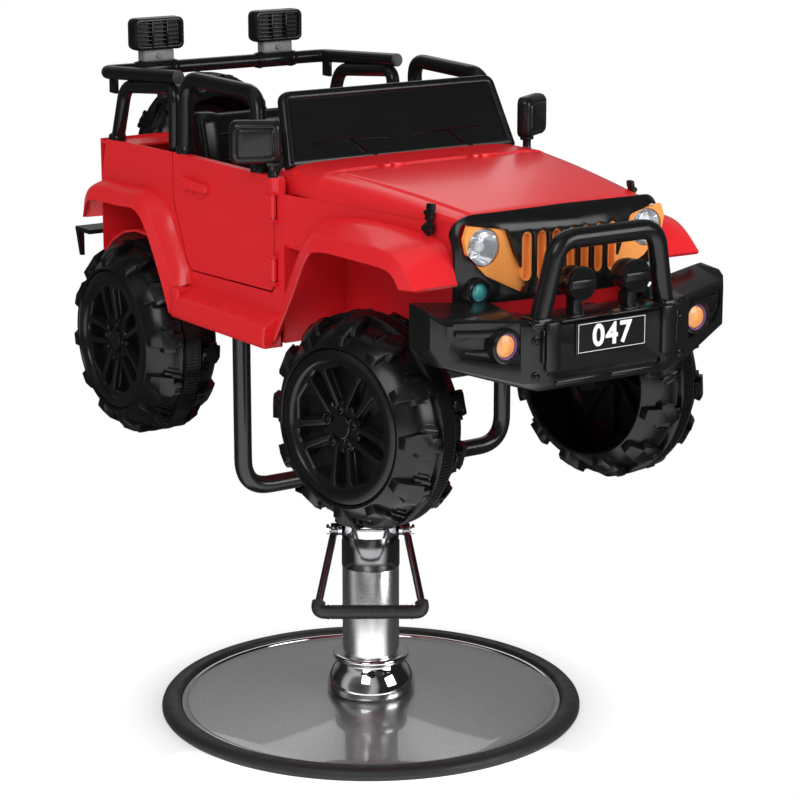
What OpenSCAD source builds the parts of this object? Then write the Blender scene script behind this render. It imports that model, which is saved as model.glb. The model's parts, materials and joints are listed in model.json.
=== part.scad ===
// A child's barber chair: a toy off-roader body on a hydraulic salon pump with a round floor base.
// +Z is up, the front of the car points to -Y, and the origin is the centre of the base on the floor.

/* [Floor base] */
// Radius of the base over its rubber ring
base_r = 371; // [330:1:420]
// Width of the rubber ring
ring_w = 33; // [20:1:45]
// Height of the rubber ring
ring_h = 20; // [16:1:30]
// Thickness of the base plate at its edge
plate_t = 11; // [9:0.5:20]
// Rise of the base plate from its edge to the column
plate_rise = 15; // [8:1:30]
// Radius of the bell that stands on the plate
bell_r = 78; // [72:1:96]
// Radius of the chrome collar over the bell
collar_r = 66; // [60:1:76]
// Height of the underside of the collar
collar_z = 86; // [70:1:110]
// Thickness of the collar
collar_t = 10; // [6:0.5:14]

/* [Pump] */
// Radius of the chrome column
column_r = 50; // [48:0.5:54]
// Wall of the column and its sleeve
column_wall = 4; // [3:0.5:6]
// Height of the seam between the column and its sleeve
sleeve_z = 258; // [220:1:270]
// Height of the top of the sleeve
head_z = 318; // [306:1:326]
// Thickness of the pump head
head_t = 24; // [20:1:28]
// Radius of the hydraulic ram
ram_r = 30; // [26:0.5:34]
// Lift of the chair
lift = 130; // [90:5:150]
// Turn of the pedal side away from the front of the car, in degrees
pedal_turn = -34; // [-90:1:90]

/* [Pedal] */
// Distance of the pedal pivot in front of the column axis
pivot_y = 48; // [46:1:56]
// Half distance between the two pedal rods at the pivot
rod_top_x = 62; // [60:0.5:70]
// Half distance between the two pedal rods at the grip
rod_low_x = 91; // [80:1:110]
// Reach of the grip in front of the column axis
grip_y = 158; // [140:1:200]
// Height of the grip above the floor
grip_z = 222; // [190:1:240]
// Radius of the pedal rods
rod_r = 6.5; // [5:0.5:8]
// Radius of the rubber grip
grip_r = 12.5; // [10:0.5:15]

/* [Swivel and cradle] */
// Height of the underside of the top plate
top_z = 405; // [396:1:420]
// Side of the square top plate
top_w = 200; // [160:5:240]
// Thickness of the top plate
top_t = 8; // [6:0.5:12]
// Length of the cross beam
beam_l = 300; // [280:2:340]
// Width of the cross beam
beam_w = 56; // [54:1:70]
// Height of the cross beam
beam_h = 17; // [12:1:20]
// Radius of the cradle tube
cradle_r = 15; // [12:0.5:16]
// Half distance between the two uprights of the cradle
cradle_x = 269; // [267:0.5:270]
// Place of the cradle behind the swivel axis
cradle_y = -20; // [-40:1:20]
// Bend radius of the cradle tube
cradle_bend = 52; // [40:1:70]
// Height of the top ends of the cradle
cradle_top = 731; // [724:1:733]

/* [Wheels] */
// Radius of the tyres over the middle tread
tyre_r = 172; // [160:1:173]
// Width of the tyres
tyre_w = 140; // [120:1:144]
// Radius of the lip of the rims
rim_r = 123; // [110:1:126]
// Height of the axles
axle_z = 636; // [632:1:642]
// Distance from the rear compartment to each rear wheel
wheel_space = 3; // [2:0.5:6]
// Place of the rear axle
rear_axle_y = 353; // [351:1:358]
// Place of the front kingpins
kingpin_y = -357; // [-362:1:-350]
// Half distance between the kingpins
kingpin_x = 165; // [163:1:167]
// Distance from a kingpin to the outer face of its wheel
wheel_reach = 158.5; // [156:0.5:160]
// Turn of the front wheels to the left, in degrees
steer = 12; // [0:1:14]
// Lugs on each side of a tyre
lug_count = 12; // [8:1:14]
// Radius of the axles
axle_r = 8; // [7:0.5:9]

/* [Body] */
// Half width of the body over its side walls
body_x = 252; // [246:1:253]
// Wall of the body mouldings
wall = 4; // [3:0.5:5]
// Underside of the floor
floor_z = 712; // [704:1:716]
// Height of the body from its floor to the cowl
side_h = 280; // [270:1:290]
// Front of the doors
door_y = -100; // [-106:1:-96]
// Length of the doors
door_l = 330; // [320:1:332]
// Rear face of the body
rear_y = 492; // [486:1:500]
// Front of the cabin
firewall_y = -130; // [-134:1:-126]
// Half width of the front compartment between the wheels
bay_x = 132; // [120:1:136]
// Distance from the seat to the outside of the rear compartment
arch_space = 22; // [20:1:24]
// Place of the nose panel
nose_y = -505; // [-510:1:-500]
// Half width of the nose
nose_x = 180; // [174:1:186]
// Half width over the fenders
fender_x = 285; // [280:1:290]
// Half width over the running boards
board_x = 291; // [290:0.5:296]

/* [Hood and windshield] */
// Place of the hood hinge
hood_y = -198; // [-204:1:-190]
// Height of the hood at its hinge
hood_z = 1001; // [996:1:1004]
// Drop of the hood from its hinge to its nose
hood_drop = 32; // [20:1:36]
// Half width of the windshield at its foot
screen_x = 229; // [222:1:231]
// Height of the windshield along its slope
screen_h = 128; // [110:1:134]
// Thickness of the windshield frame
screen_t = 20; // [14:1:24]
// Lean of the windshield, in degrees
screen_lean = 23; // [15:1:28]

/* [Front end] */
// Place of the front of the grille
grille_y = -560; // [-564:1:-556]
// Height of the top of the grille
grille_z = 975; // [972:1:978]
// Number of grille slots
slot_count = 7; // [5:1:7]
// Distance between the slots
slot_pitch = 27.3; // [26:0.1:28]
// Width of a slot
slot_w = 19; // [15:0.5:20]
// Half width of the front bumper
bumper_x = 283; // [276:1:288]
// Front face of the bumper
bumper_y = -655; // [-662:1:-650]
// Radius of the bull bar tube
bull_r = 15.5; // [13:0.5:17]
// Radius of the driving lamps
lamp_r = 26; // [22:0.5:28]
// Width of the number plate
number_w = 134; // [110:1:150]
// Height of the number plate
number_h = 50; // [40:1:54]

/* [Roll cage and roof lamps] */
// Radius of the cage tubes
cage_r = 12; // [10:0.5:13]
// Half width of the cage
cage_x = 226; // [222:1:230]
// Height of the top of the cage
cage_z = 1104; // [1090:1:1110]
// Distance from the doors to the middle of the cage pillars
pillar_space = 32; // [28:1:40]
// Place of the rear cross tube
rack_y = 508; // [500:1:512]
// Height of the rear cross tube
rack_z = 1088; // [1080:1:1094]
// Half distance between the roof lamps
roof_lamp_x = 126; // [116:1:136]
// Width of a roof lamp
roof_lamp_w = 102; // [90:1:110]
// Height of a roof lamp
roof_lamp_h = 58; // [48:1:64]

/* [Cabin] */
// Width of the seat
seat_w = 300; // [270:2:310]
// Height of the seat cushion
seat_z = 838; // [820:1:850]
// Height of the top of the seat back
seat_top = 1028; // [1000:1:1035]
// Radius of the steering wheel
steering_r = 84; // [74:1:92]
// Radius of the spare wheel
spare_r = 146; // [136:1:150]
// Height of the spare wheel's centre
spare_z = 922; // [916:1:930]

/* [Hidden] */
$fn = 48;
// Half width of the rear compartment between the wheels
trunk_x = seat_w / 2 + arch_space;
// Half distance between the outer faces of the rear wheels
track_half = trunk_x + wheel_space + tyre_w;
// Overrun of cuts past the faces that they leave
over = 1;
// Running clearance between a shaft and its bore
fit = 0.05;
// Clearance between mouldings that move past each other
gap = 1.5;
// Gap between pieces that rest on each other and still slide
seat_gap = 0.3;
// Sides of a bent tube
tube_sides = 12;
// Steps of a bend
bend_steps = 5;

// Unit vector along v
function unit(v) = v / norm(v);
// Points given as shares of a size, counted from an origin
function at(shares, origin, size) = [for (s = shares) [for (k = [0:len(s) - 1]) origin[k] + s[k] * size[k]]];
// Straight mix of a and b
function mix(a, b, share) = a + (b - a) * share;
// Points of a rounded corner between two straight runs
function corner(a, b, c, bend) =
    let (p = b + unit(a - b) * bend, q = b + unit(c - b) * bend)
    [for (i = [0:bend_steps]) let (t = i / bend_steps) p * (1 - t) ^ 2 + b * 2 * t * (1 - t) + q * t ^ 2];
// A path whose inner corners are rounded
function bent(path, bend) =
    [path[0], for (i = [1:len(path) - 2]) each corner(path[i - 1], path[i], path[i + 1], bend),
        path[len(path) - 1]];
// Direction of a path at one of its points
function along(path, i) = unit(path[min(i + 1, len(path) - 1)] - path[max(i - 1, 0)]);
// Ring of points round a path
function ring(path, i, r, side) =
    let (t = along(path, i), a = unit(cross(t, side)), b = cross(t, a), step = 360 / tube_sides)
    [for (k = [0:tube_sides - 1]) path[i] + r * (cos(k * step) * a + sin(k * step) * b)];
// Outline with y mirrored to close a symmetric cross-section
function both_ways(half) = concat(half,
    [for (i = [len(half) - 1:-1:0]) [-half[i][0], half[i][1], half[i][2]]]);

// Closed skin over rings of points, each running anticlockwise about the way the rings follow each other
module loft(rings) {
    n = len(rings[0]);
    m = len(rings);
    fore = [for (i = [0:m - 2], j = [0:n / 2 - 1]) let (k = i * n + j)
        each [[k, k + n + 1, k + 1], [k, k + n, k + n + 1]]];
    back = [for (i = [0:m - 2], j = [n / 2:n - 1]) let (k = i * n + j, next = i * n + (j + 1) % n)
        each [[k, k + n, next], [next, k + n, next + n]]];
    first = [for (k = [0:n / 2 - 2]) each [[k, k + 1, n - 2 - k], [k, n - 2 - k, n - 1 - k]]];
    e = (m - 1) * n;
    last = [for (k = [0:n / 2 - 2]) each [[e + k, e + n - 2 - k, e + k + 1],
        [e + k, e + n - 1 - k, e + n - 2 - k]]];
    polyhedron([for (r = rings) each r], concat(fore, back, first, last));
}

// Bent tube whose bends lie square to the side vector
module bent_tube(path, r, bend, side) {
    run = bent(path, bend);
    loft([for (i = [0:len(run) - 1]) ring(run, i, r, side)]);
}

// Straight round bar between two points
module bar(p, q, r) {
    d = q - p;
    translate(p) rotate([0, acos(d[2] / norm(d)), atan2(d[1], d[0])]) cylinder(h = norm(d), r = r);
}

// Tube with a bore
module tube(h, r, bore) {
    difference() {
        cylinder(h = h, r = r);
        translate([0, 0, -over]) cylinder(h = h + 2 * over, r = bore);
    }
}

// Outline in Y and Z, extruded from x0 to x1
module side_cut(points, x0, x1) {
    translate([x0, 0, 0]) rotate([90, 0, 90]) linear_extrude(x1 - x0) polygon(points);
}

// Outline in X and Z, extruded from y0 to y1
module front_cut(points, y0, y1) {
    translate([0, y1, 0]) rotate([90, 0, 0]) linear_extrude(y1 - y0) polygon(points);
}

// Outline in X and Y, extruded from z0 to z1
module plan_cut(points, z0, z1) {
    translate([0, 0, z0]) linear_extrude(z1 - z0) polygon(points);
}

// Box between two corners
module block(low, high) {
    translate(low) cube(high - low);
}

module both_sides() {
    children();
    mirror([1, 0, 0]) children();
}

// Frame of the pump and pedal, turned from the front of the car
module pump_frame() {
    rotate([0, 0, pedal_turn]) children();
}

// Outline with rounded upper corners, for turned rings
module dome(w, h, r) {
    square([w, h - r]);
    translate([r, 0]) square([w - 2 * r, h]);
    translate([r, h - r]) circle(r);
    translate([w - r, h - r]) circle(r);
}

// Floor base
plate_r = base_r - ring_w;
plate_top = plate_t + plate_rise;
plate_skin = 5;
pad_r = bell_r + ring_w;
ring_round_share = 0.45;
// Outline of the bell from its foot to its neck, as shares of its width and height
bell_shares = [[0.8, 0], [0.97, 0.07], [1, 0.16], [0.98, 0.28], [0.86, 0.5], [0.62, 0.72], [0.38, 0.88],
    [0.24, 1]];

// Underside of the plate's skin at a distance from the axis
function skin_z(r) = mix(plate_top, plate_t, (r - bell_r) / (plate_r - bell_r)) - plate_skin;

module base_plate() {
    rim_in = plate_r - ring_w;
    color("silver") difference() {
        rotate_extrude($fn = 96)
            polygon([[0, 0], [plate_r, 0], [plate_r, plate_t], [bell_r, plate_top], [0, plate_top]]);
        rotate_extrude($fn = 96)
            polygon([[pad_r, -over], [rim_in, -over], [rim_in, skin_z(rim_in)], [pad_r, skin_z(pad_r)]]);
    }
}

module base_ring() {
    color("black") rotate_extrude($fn = 96) translate([plate_r, 0])
        dome(ring_w, ring_h, ring_h * ring_round_share);
}

module base_neck() {
    color("silver") {
        rotate_extrude() polygon(concat(
            at(bell_shares, [column_r, plate_top], [bell_r - column_r, collar_z - plate_top]),
            [[column_r, collar_z], [column_r, plate_top]]));
        translate([0, 0, collar_z]) rotate_extrude() translate([column_r, 0])
            dome(collar_r - column_r, collar_t, collar_t / 3);
    }
}

// Pump
head_top = head_z + head_t;
sleeve_r = column_r + column_wall / 4;
cylinder_wall = 3 * column_wall;
cylinder_foot = 2 * column_wall;
pin_r = 5;
pin_head_r = 9;
ear_t = 6;
ear_x = rod_top_x - rod_r - ear_t - fit;
eye_r = 11;
pivot_z = head_z + head_t * 3 / 4;
pivot_back_share = 0.3;

module pump_column() {
    color("gainsboro") translate([0, 0, plate_top]) tube(sleeve_z - plate_top, column_r,
        column_r - column_wall);
}

module pump_sleeve() {
    color("silver") translate([0, 0, sleeve_z]) tube(head_z - sleeve_z, sleeve_r, column_r - column_wall);
}

module pump_cylinder() {
    color("dimgray") translate([0, 0, plate_top]) difference() {
        cylinder(h = head_z - plate_top, r = ram_r + cylinder_wall);
        translate([0, 0, cylinder_foot]) cylinder(h = head_z, r = ram_r + fit);
    }
}

module pump_head() {
    color("silver") pump_frame() difference() {
        union() {
            translate([0, 0, head_z]) cylinder(h = head_t, r = sleeve_r);
            both_sides() {
                block([ear_x, -pivot_y, head_z], [ear_x + ear_t, pivot_back_share * pivot_y, head_top]);
                translate([ear_x, -pivot_y, pivot_z]) rotate([0, 90, 0]) cylinder(h = ear_t, r = eye_r);
            }
        }
        translate([0, 0, head_z - over]) cylinder(h = head_t + 2 * over, r = ram_r + fit);
        translate([-rod_top_x, -pivot_y, pivot_z]) rotate([0, 90, 0]) cylinder(h = 2 * rod_top_x, r = pin_r);
    }
}

module pedal_pins() {
    head_h = pin_r;
    shank = ear_t + 2 * rod_r + 2 * gap;
    color("silver") pump_frame() both_sides() translate([ear_x, -pivot_y, pivot_z]) rotate([0, 90, 0]) {
        cylinder(h = shank + head_h, r = pin_r);
        translate([0, 0, shank]) cylinder(h = head_h, r = pin_head_r, $fn = 6);
    }
}

// Pedal
grip_over = grip_r + rod_r;

module pedal_rods() {
    both_sides() bar([rod_top_x, -pivot_y, pivot_z], [rod_low_x, -grip_y, grip_z], rod_r);
    bar([-rod_low_x - rod_r, -grip_y, grip_z], [rod_low_x + rod_r, -grip_y, grip_z], rod_r + over);
}

module pedal_bar() {
    color("silver") pump_frame() difference() {
        union() {
            pedal_rods();
            both_sides() translate([rod_top_x - rod_r, -pivot_y, pivot_z]) rotate([0, 90, 0])
                cylinder(h = 2 * rod_r, r = eye_r);
        }
        both_sides() translate([ear_x, -pivot_y, pivot_z]) rotate([0, 90, 0])
            cylinder(h = rod_top_x, r = pin_r + fit);
        both_sides() block([ear_x, -pivot_y - eye_r, pivot_z - eye_r],
            [rod_top_x - rod_r, -pivot_y + eye_r, pivot_z + eye_r]);
    }
}

module pedal_grip() {
    knob = [rod_low_x, -grip_y, grip_z];
    rise = unit([rod_top_x, -pivot_y, pivot_z] - knob) * grip_over;
    color("black") pump_frame() difference() {
        union() {
            bar([-rod_low_x - grip_over, -grip_y, grip_z], knob + [grip_over, 0, 0], grip_r);
            both_sides() bar(knob, knob + rise, grip_r - over);
        }
        pedal_rods();
    }
}

// Ram and swivel
ram_foot = head_z - lift - 2 * ring_w;
shoulder_z = top_z - ring_w;
spigot_share = 0.8;
spigot_r = ram_r * spigot_share;
washer_t = 3;
hub_r = ram_r * 3 / 2;

module lift_ram() {
    color("silver") {
        translate([0, 0, ram_foot]) cylinder(h = shoulder_z - ram_foot, r = ram_r);
        cylinder_h = top_z - shoulder_z;
        translate([0, 0, shoulder_z]) cylinder(h = cylinder_h, r = spigot_r);
    }
}

module thrust_washer() {
    color("goldenrod") translate([0, 0, shoulder_z]) tube(washer_t, hub_r, spigot_r + fit);
}

bolt_r = 5;
bolt_x = top_w / 2 - 3 * bolt_r;
beam_z = top_z + top_t;
beam_wall = 3;
tube_z = beam_z + beam_h + cradle_r - beam_wall / 2;
bolt_head = bolt_r;
bolt_head_r = 8.5;
// Beam bolts stand just clear of the cradle tube
bolt_y = sqrt(cradle_r ^ 2 - (tube_z - beam_z - beam_h - bolt_head) ^ 2) + bolt_head_r * cos(30) + seat_gap;
sill_y = 36;
sill_bolt_z = floor_z + wall + bolt_head_r * cos(30) + seat_gap;

module turn_plate() {
    color("dimgray") difference() {
        union() {
            translate([-top_w / 2, -top_w / 2, top_z]) cube([top_w, top_w, top_t]);
            translate([0, 0, shoulder_z + washer_t]) cylinder(h = top_z - shoulder_z - washer_t, r = hub_r);
        }
        translate([0, 0, shoulder_z]) cylinder(h = top_z - shoulder_z, r = spigot_r + fit);
        for (x = [-bolt_x, bolt_x], y = [cradle_y - bolt_y, cradle_y + bolt_y])
            translate([x, y, top_z - over]) cylinder(h = top_t + 2 * over, r = bolt_r + fit);
    }
}

module cross_beam() {
    end_h = beam_h + 2 * cradle_r;
    color([0.12, 0.12, 0.13]) difference() {
        union() {
            block([-beam_l / 2, cradle_y - beam_w / 2, beam_z],
                [beam_l / 2, cradle_y + beam_w / 2, beam_z + beam_h]);
            both_sides() block([beam_l / 2 - 2 * beam_wall, cradle_y - beam_w / 2, beam_z],
                [beam_l / 2, cradle_y + beam_w / 2, beam_z + end_h]);
        }
        block([-beam_l / 2 - over, cradle_y - beam_w / 2 + beam_wall, beam_z + beam_wall],
            [beam_l / 2 + over, cradle_y + beam_w / 2 - beam_wall, beam_z + beam_h - beam_wall]);
        translate([-beam_l, cradle_y, tube_z]) rotate([0, 90, 0]) cylinder(h = 2 * beam_l, r = cradle_r);
        for (x = [-bolt_x, bolt_x], y = [cradle_y - bolt_y, cradle_y + bolt_y])
            translate([x, y, beam_z - over]) cylinder(h = beam_h + 2 * over, r = bolt_r + fit);
    }
}

module cradle_tube() {
    color([0.08, 0.08, 0.09]) translate([0, cradle_y, 0]) {
        bar([cradle_bend - cradle_x, 0, tube_z], [cradle_x - cradle_bend, 0, tube_z], cradle_r);
        both_sides() {
            bar([cradle_x, 0, tube_z + cradle_bend], [cradle_x, 0, cradle_top], cradle_r);
            difference() {
                block([body_x, -sill_y - 2 * bolt_r, floor_z + wall],
                    [body_x + 2 * wall, sill_y + 2 * bolt_r, cradle_top]);
                for (y = [-sill_y, sill_y]) translate([body_x - over, y, sill_bolt_z]) rotate([0, 90, 0])
                    cylinder(h = 2 * wall + 2 * over, r = bolt_r + fit);
            }
            translate([cradle_x - cradle_bend, 0, tube_z + cradle_bend]) rotate([90, 0, 0])
                rotate([0, 0, -90]) rotate_extrude(angle = 90) translate([cradle_bend, 0]) circle(cradle_r);
        }
    }
}

module frame_bolts() {
    shank = beam_z + beam_h - top_z;
    sill_shank = 3 * wall;
    color("silver") {
        for (x = [-bolt_x, bolt_x], y = [cradle_y - bolt_y, cradle_y + bolt_y])
            translate([x, y, top_z - bolt_head]) {
            cylinder(h = shank + bolt_head, r = bolt_r);
            cylinder(h = bolt_head, r = bolt_head_r, $fn = 6);
            translate([0, 0, shank + bolt_head]) cylinder(h = bolt_head, r = bolt_head_r, $fn = 6);
        }
        both_sides() for (y = [cradle_y - sill_y, cradle_y + sill_y])
            translate([body_x - wall - bolt_head, y, sill_bolt_z]) rotate([0, 90, 0]) rotate([0, 0, 30]) {
                cylinder(h = bolt_head + sill_shank, r = bolt_r);
                cylinder(h = bolt_head, r = bolt_head_r, $fn = 6);
                translate([0, 0, bolt_head + sill_shank]) cylinder(h = bolt_head, r = bolt_head_r, $fn = 6);
            }
    }
}

// Wheels, modelled about the X axis with the outer face at x = 0 and the inner face at x = tyre_w
band_w = 15;
carcass_share = 0.93;
lug_l_share = 0.3;
lug_t_share = 0.17;
hub_cap_r = 46;
rim_depth = 44;
spoke_w = 15;
spoke_t = 12;
spoke_count = 5;
rim_lip = 14;
// Half of the tyre's cross-section as shares of its half width and of the height of its side
tyre_shares = [[0, 0], [0, 0.28], [0.14, 0.62], [0.36, 0.9], [0.66, 1], [0.86, 1]];

module tyre(r, w, bore) {
    top = r * carcass_share;
    side = at(tyre_shares, [0, bore], [w / 2, top - bore]);
    half = [for (p = side) [p[1], p[0]]];
    back = [for (i = [len(half) - 1:-1:0]) [half[i][0], w - half[i][1]]];
    lug_x = [band_w, w - band_w];
    lug_l = r * lug_l_share;
    lug_t = r * lug_t_share;
    rotate([0, 90, 0]) rotate_extrude($fn = 72)
        polygon(concat(half, [[r, w / 2 - band_w / 2], [r, w / 2 + band_w / 2]], back));
    for (k = [0:lug_count - 1], side = [0, 1]) rotate([360 * (k + side / 2) / lug_count, 0, 0])
        translate([side == 0 ? lug_x[0] : w / 2 + band_w / 2, -lug_l / 2, 0])
            cube([w / 2 - band_w * 3 / 2, lug_l, r - band_w / 4]);
}

module hollow_tyre(r, w, bore) {
    color([0.05, 0.05, 0.055]) difference() {
        tyre(r, w, bore);
        translate([-over, 0, 0]) rotate([0, 90, 0]) cylinder(h = w + 2 * over, r = bore, $fn = 72);
    }
}

// Spoked cover with its hub, seated in the tyre's bore
module rim(r, w, depth, bore) {
    color([0.09, 0.09, 0.1]) difference() {
        union() {
            rotate([0, 90, 0]) tube(depth, r, r - rim_lip);
            translate([depth - spoke_t, 0, 0]) rotate([0, 90, 0])
                cylinder(h = spoke_t / 2, r = r - rim_lip / 2);
            for (k = [0:spoke_count - 1], s = [-1, 1]) rotate([360 * k / spoke_count, 0, 0])
                translate([spoke_t, s * spoke_w - spoke_w / 3, 0])
                    cube([spoke_t, spoke_w * 2 / 3, r - rim_lip / 2]);
            translate([spoke_t * 2 / 3, 0, 0]) rotate([0, 90, 0])
                cylinder(h = depth - spoke_t, r = hub_cap_r);
            translate([depth - spoke_t, 0, 0]) rotate([0, 90, 0]) cylinder(h = w - depth, r = bore * 5 / 2);
            for (k = [0:spoke_count - 1]) rotate([360 * k / spoke_count, 0, 0])
                translate([0, 0, hub_cap_r * 2 / 3]) rotate([0, 90, 0])
                    cylinder(h = spoke_t, r = spoke_w / 3, $fn = 6);
        }
        translate([spoke_t, 0, 0]) rotate([0, 90, 0]) cylinder(h = w, r = bore);
    }
}

// Puts a wheel on its stub axle at the right front
module front_right() {
    translate([-kingpin_x, kingpin_y, axle_z]) rotate([0, 0, steer]) translate([-wheel_reach, 0, 0])
        children();
}

// Puts a wheel on its stub axle at the left front
module front_left() {
    translate([kingpin_x, kingpin_y, axle_z]) rotate([0, 0, steer]) translate([wheel_reach, 0, 0])
        mirror([1, 0, 0]) children();
}

module rear_right() {
    translate([-track_half, rear_axle_y, axle_z]) children();
}

module rear_left() {
    translate([track_half, rear_axle_y, axle_z]) mirror([1, 0, 0]) children();
}

module tyre_front_right() { front_right() hollow_tyre(tyre_r, tyre_w, rim_r); }
module tyre_front_left() { front_left() hollow_tyre(tyre_r, tyre_w, rim_r); }
module tyre_rear_right() { rear_right() hollow_tyre(tyre_r, tyre_w, rim_r); }
module tyre_rear_left() { rear_left() hollow_tyre(tyre_r, tyre_w, rim_r); }
module rim_front_right() { front_right() rim(rim_r, tyre_w, rim_depth, axle_r + fit); }
module rim_front_left() { front_left() rim(rim_r, tyre_w, rim_depth, axle_r + fit); }
module rim_rear_right() { rear_right() rim(rim_r, tyre_w, rim_depth, axle_r + fit); }
module rim_rear_left() { rear_left() rim(rim_r, tyre_w, rim_depth, axle_r + fit); }

// Steering knuckles, axles and tie rod; the front axle hangs close under the floor
king_r = 6;
fork_t = 9;
fork_r = 10;
fork_l = 48;
axle_drop = 34;
knuckle_r = 11;
leg_t = 6.5;
leg_w = 18;
arm_l = 60;
arm_w = 14;
arm_t = 5;
link_r = 4;
link_slack = 2;
bracket_w = 24;
stub_end = wheel_reach - spoke_t - gap;
knuckle_low = floor_z - axle_drop + fork_t + gap / 3;
knuckle_top = floor_z - fork_t - gap / 3;

module knuckle() {
    leg_x = knuckle_r + leg_t;
    knuckle_h = knuckle_top - knuckle_low;
    color([0.2, 0.2, 0.21]) difference() {
        union() {
            translate([0, 0, knuckle_low]) cylinder(h = knuckle_h, r = knuckle_r);
            block([-leg_x, -leg_w / 2, knuckle_low], [0, leg_w / 2, knuckle_top]);
            block([-leg_x, -leg_w / 2, axle_z - axle_r], [-knuckle_r, leg_w / 2, knuckle_top]);
            translate([-knuckle_r, 0, axle_z]) rotate([0, -90, 0])
                cylinder(h = stub_end - knuckle_r, r = axle_r);
            block([-arm_w / 2, 0, knuckle_low], [arm_w / 2, arm_l, knuckle_low + arm_t]);
            translate([0, arm_l, knuckle_low]) cylinder(h = arm_t, r = arm_w / 2);
            translate([0, arm_l, knuckle_low]) cylinder(h = knuckle_h - gap, r = link_r);
        }
        translate([0, 0, knuckle_low - over]) cylinder(h = knuckle_h + 2 * over, r = king_r + fit);
    }
}

module knuckle_right() {
    translate([-kingpin_x, kingpin_y, 0]) rotate([0, 0, steer]) knuckle();
}

module knuckle_left() {
    translate([kingpin_x, kingpin_y, 0]) rotate([0, 0, steer]) mirror([1, 0, 0]) knuckle();
}

module tie_rod() {
    y = kingpin_y + arm_l * cos(steer);
    z = knuckle_low + arm_t + seat_gap;
    shift = -arm_l * sin(steer);
    color([0.2, 0.2, 0.21]) difference() {
        union() {
            block([shift - kingpin_x, y - link_r, z], [shift + kingpin_x, y + link_r, z + link_r * 2]);
            for (x = [shift - kingpin_x, shift + kingpin_x]) translate([x, y, z])
                cylinder(h = link_r * 2, r = 2 * link_r + link_slack);
        }
        for (x = [shift - kingpin_x, shift + kingpin_x]) translate([x, y, z - over])
            cylinder(h = link_r * 2 + 2 * over, r = link_r + link_slack);
    }
}

module front_axle() {
    low = floor_z - axle_drop;
    beam_x = kingpin_x - fork_l;
    color([0.15, 0.15, 0.16]) {
        block([-beam_x, kingpin_y - fork_r, low], [beam_x, kingpin_y + fork_r, floor_z]);
        both_sides() {
            for (z = [low, floor_z - fork_t]) {
                block([beam_x, kingpin_y - fork_r, z], [kingpin_x, kingpin_y + fork_r, z + fork_t]);
                translate([kingpin_x, kingpin_y, z]) cylinder(h = fork_t, r = fork_r);
            }
            translate([kingpin_x, kingpin_y, low]) cylinder(h = axle_drop, r = king_r);
        }
    }
}

module rear_axle() {
    end = track_half - spoke_t - gap;
    bracket_x = trunk_x - 2 * bracket_w;
    color([0.15, 0.15, 0.16]) {
        translate([-end, rear_axle_y, axle_z]) rotate([0, 90, 0]) cylinder(h = 2 * end, r = axle_r);
        both_sides() block([bracket_x, rear_axle_y - bracket_w, axle_z - bracket_w],
            [bracket_x + fork_t, rear_axle_y + bracket_w, floor_z]);
    }
}

// Body shell: outlines in Y and Z as shares of the body's length and height
cowl_z = floor_z + side_h;
cabin_l = rear_y - firewall_y;
door_top_shares = [[0, 0.957], [1, 0.94]];
// Side wall behind the firewall, with the rear arch
side_shares = [[0, 0], [0.51, 0], [0.527, 0.1], [0.585, 0.33], [0.7, 0.57], [0.97, 0.55], [1, 0.5],
    [1, 0.66],
    [0.965, 0.93], [0.84, 0.945], [0.57, 0.955], [0.09, 0.958], [0, 0.96]];
// Door outline as shares of the door's length and the body's height
door_shares = [[0.03, 0.28], [0.82, 0.255], [0.87, 0.31], [1, 0.66], [1, 1.1], [0, 1.1], [0, 0.32]];
arch_z_share = 0.61;
ledge_share = 0.12;
hinge_z_shares = [0.42, 0.79];
hinge_h = 36;
hinge_r = 6;
hinge_pin_r = 3;
hinge_x = body_x + hinge_r / 2;
hinge_y = door_y - hinge_r / 2;
post_r = 14;
mirror_x = 255;
mirror_y = -103;
hood_seam_share = 0.87;
hood_rear_x = 236;
bay_z_share = 0.58;
vent_count = 9;
vent_w = 3;
vent_l = 22;

// Arch liner over a rear wheel, from the floor to the rear panel
liner_r = tyre_r + hinge_r + 2 * wall;
liner_rear_share = 0.62;
liner_steps = 8;
function reverse(list) = [for (i = [len(list) - 1:-1:0]) list[i]];
function arc(r) =
    let (a = 180 - asin((floor_z - axle_z) / r), b = acos(min(1, (rear_y - wall / 2 - rear_axle_y) / r)))
    [for (i = [0:liner_steps]) let (t = mix(a, b, i / liner_steps)) [rear_axle_y + r * cos(t),
        axle_z + r * sin(t)]];

function door_outline(grow) =
    let (low = [door_y, floor_z], size = [door_l, side_h])
    [for (p = at(door_shares, low, size)) [p[0] + (p[0] > door_y + door_l / 2 ? grow : -grow), p[1] - grow]];

// Side wall of the front compartment, from the firewall to the nose
module front_side() {
    plan = [[body_x, firewall_y], [hood_rear_x, hood_y], [nose_x, nose_y], [nose_x - wall, nose_y],
        [hood_rear_x - wall, hood_y], [body_x - wall, firewall_y]];
    plan_cut(plan, floor_z + side_h * bay_z_share, floor_z + side_h * hood_seam_share);
}

module hinge_lugs() {
    for (s = hinge_z_shares, end = [-1, 1]) {
        z = floor_z + side_h * s + end * (hinge_h / 2 + gap);
        block([body_x - wall, hinge_y - 2 * hinge_r, z - (end < 0 ? hinge_r : 0)],
            [hinge_x + hinge_r, hinge_y + hinge_pin_r + gap, z + (end > 0 ? hinge_r : 0)]);
    }
}

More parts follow.
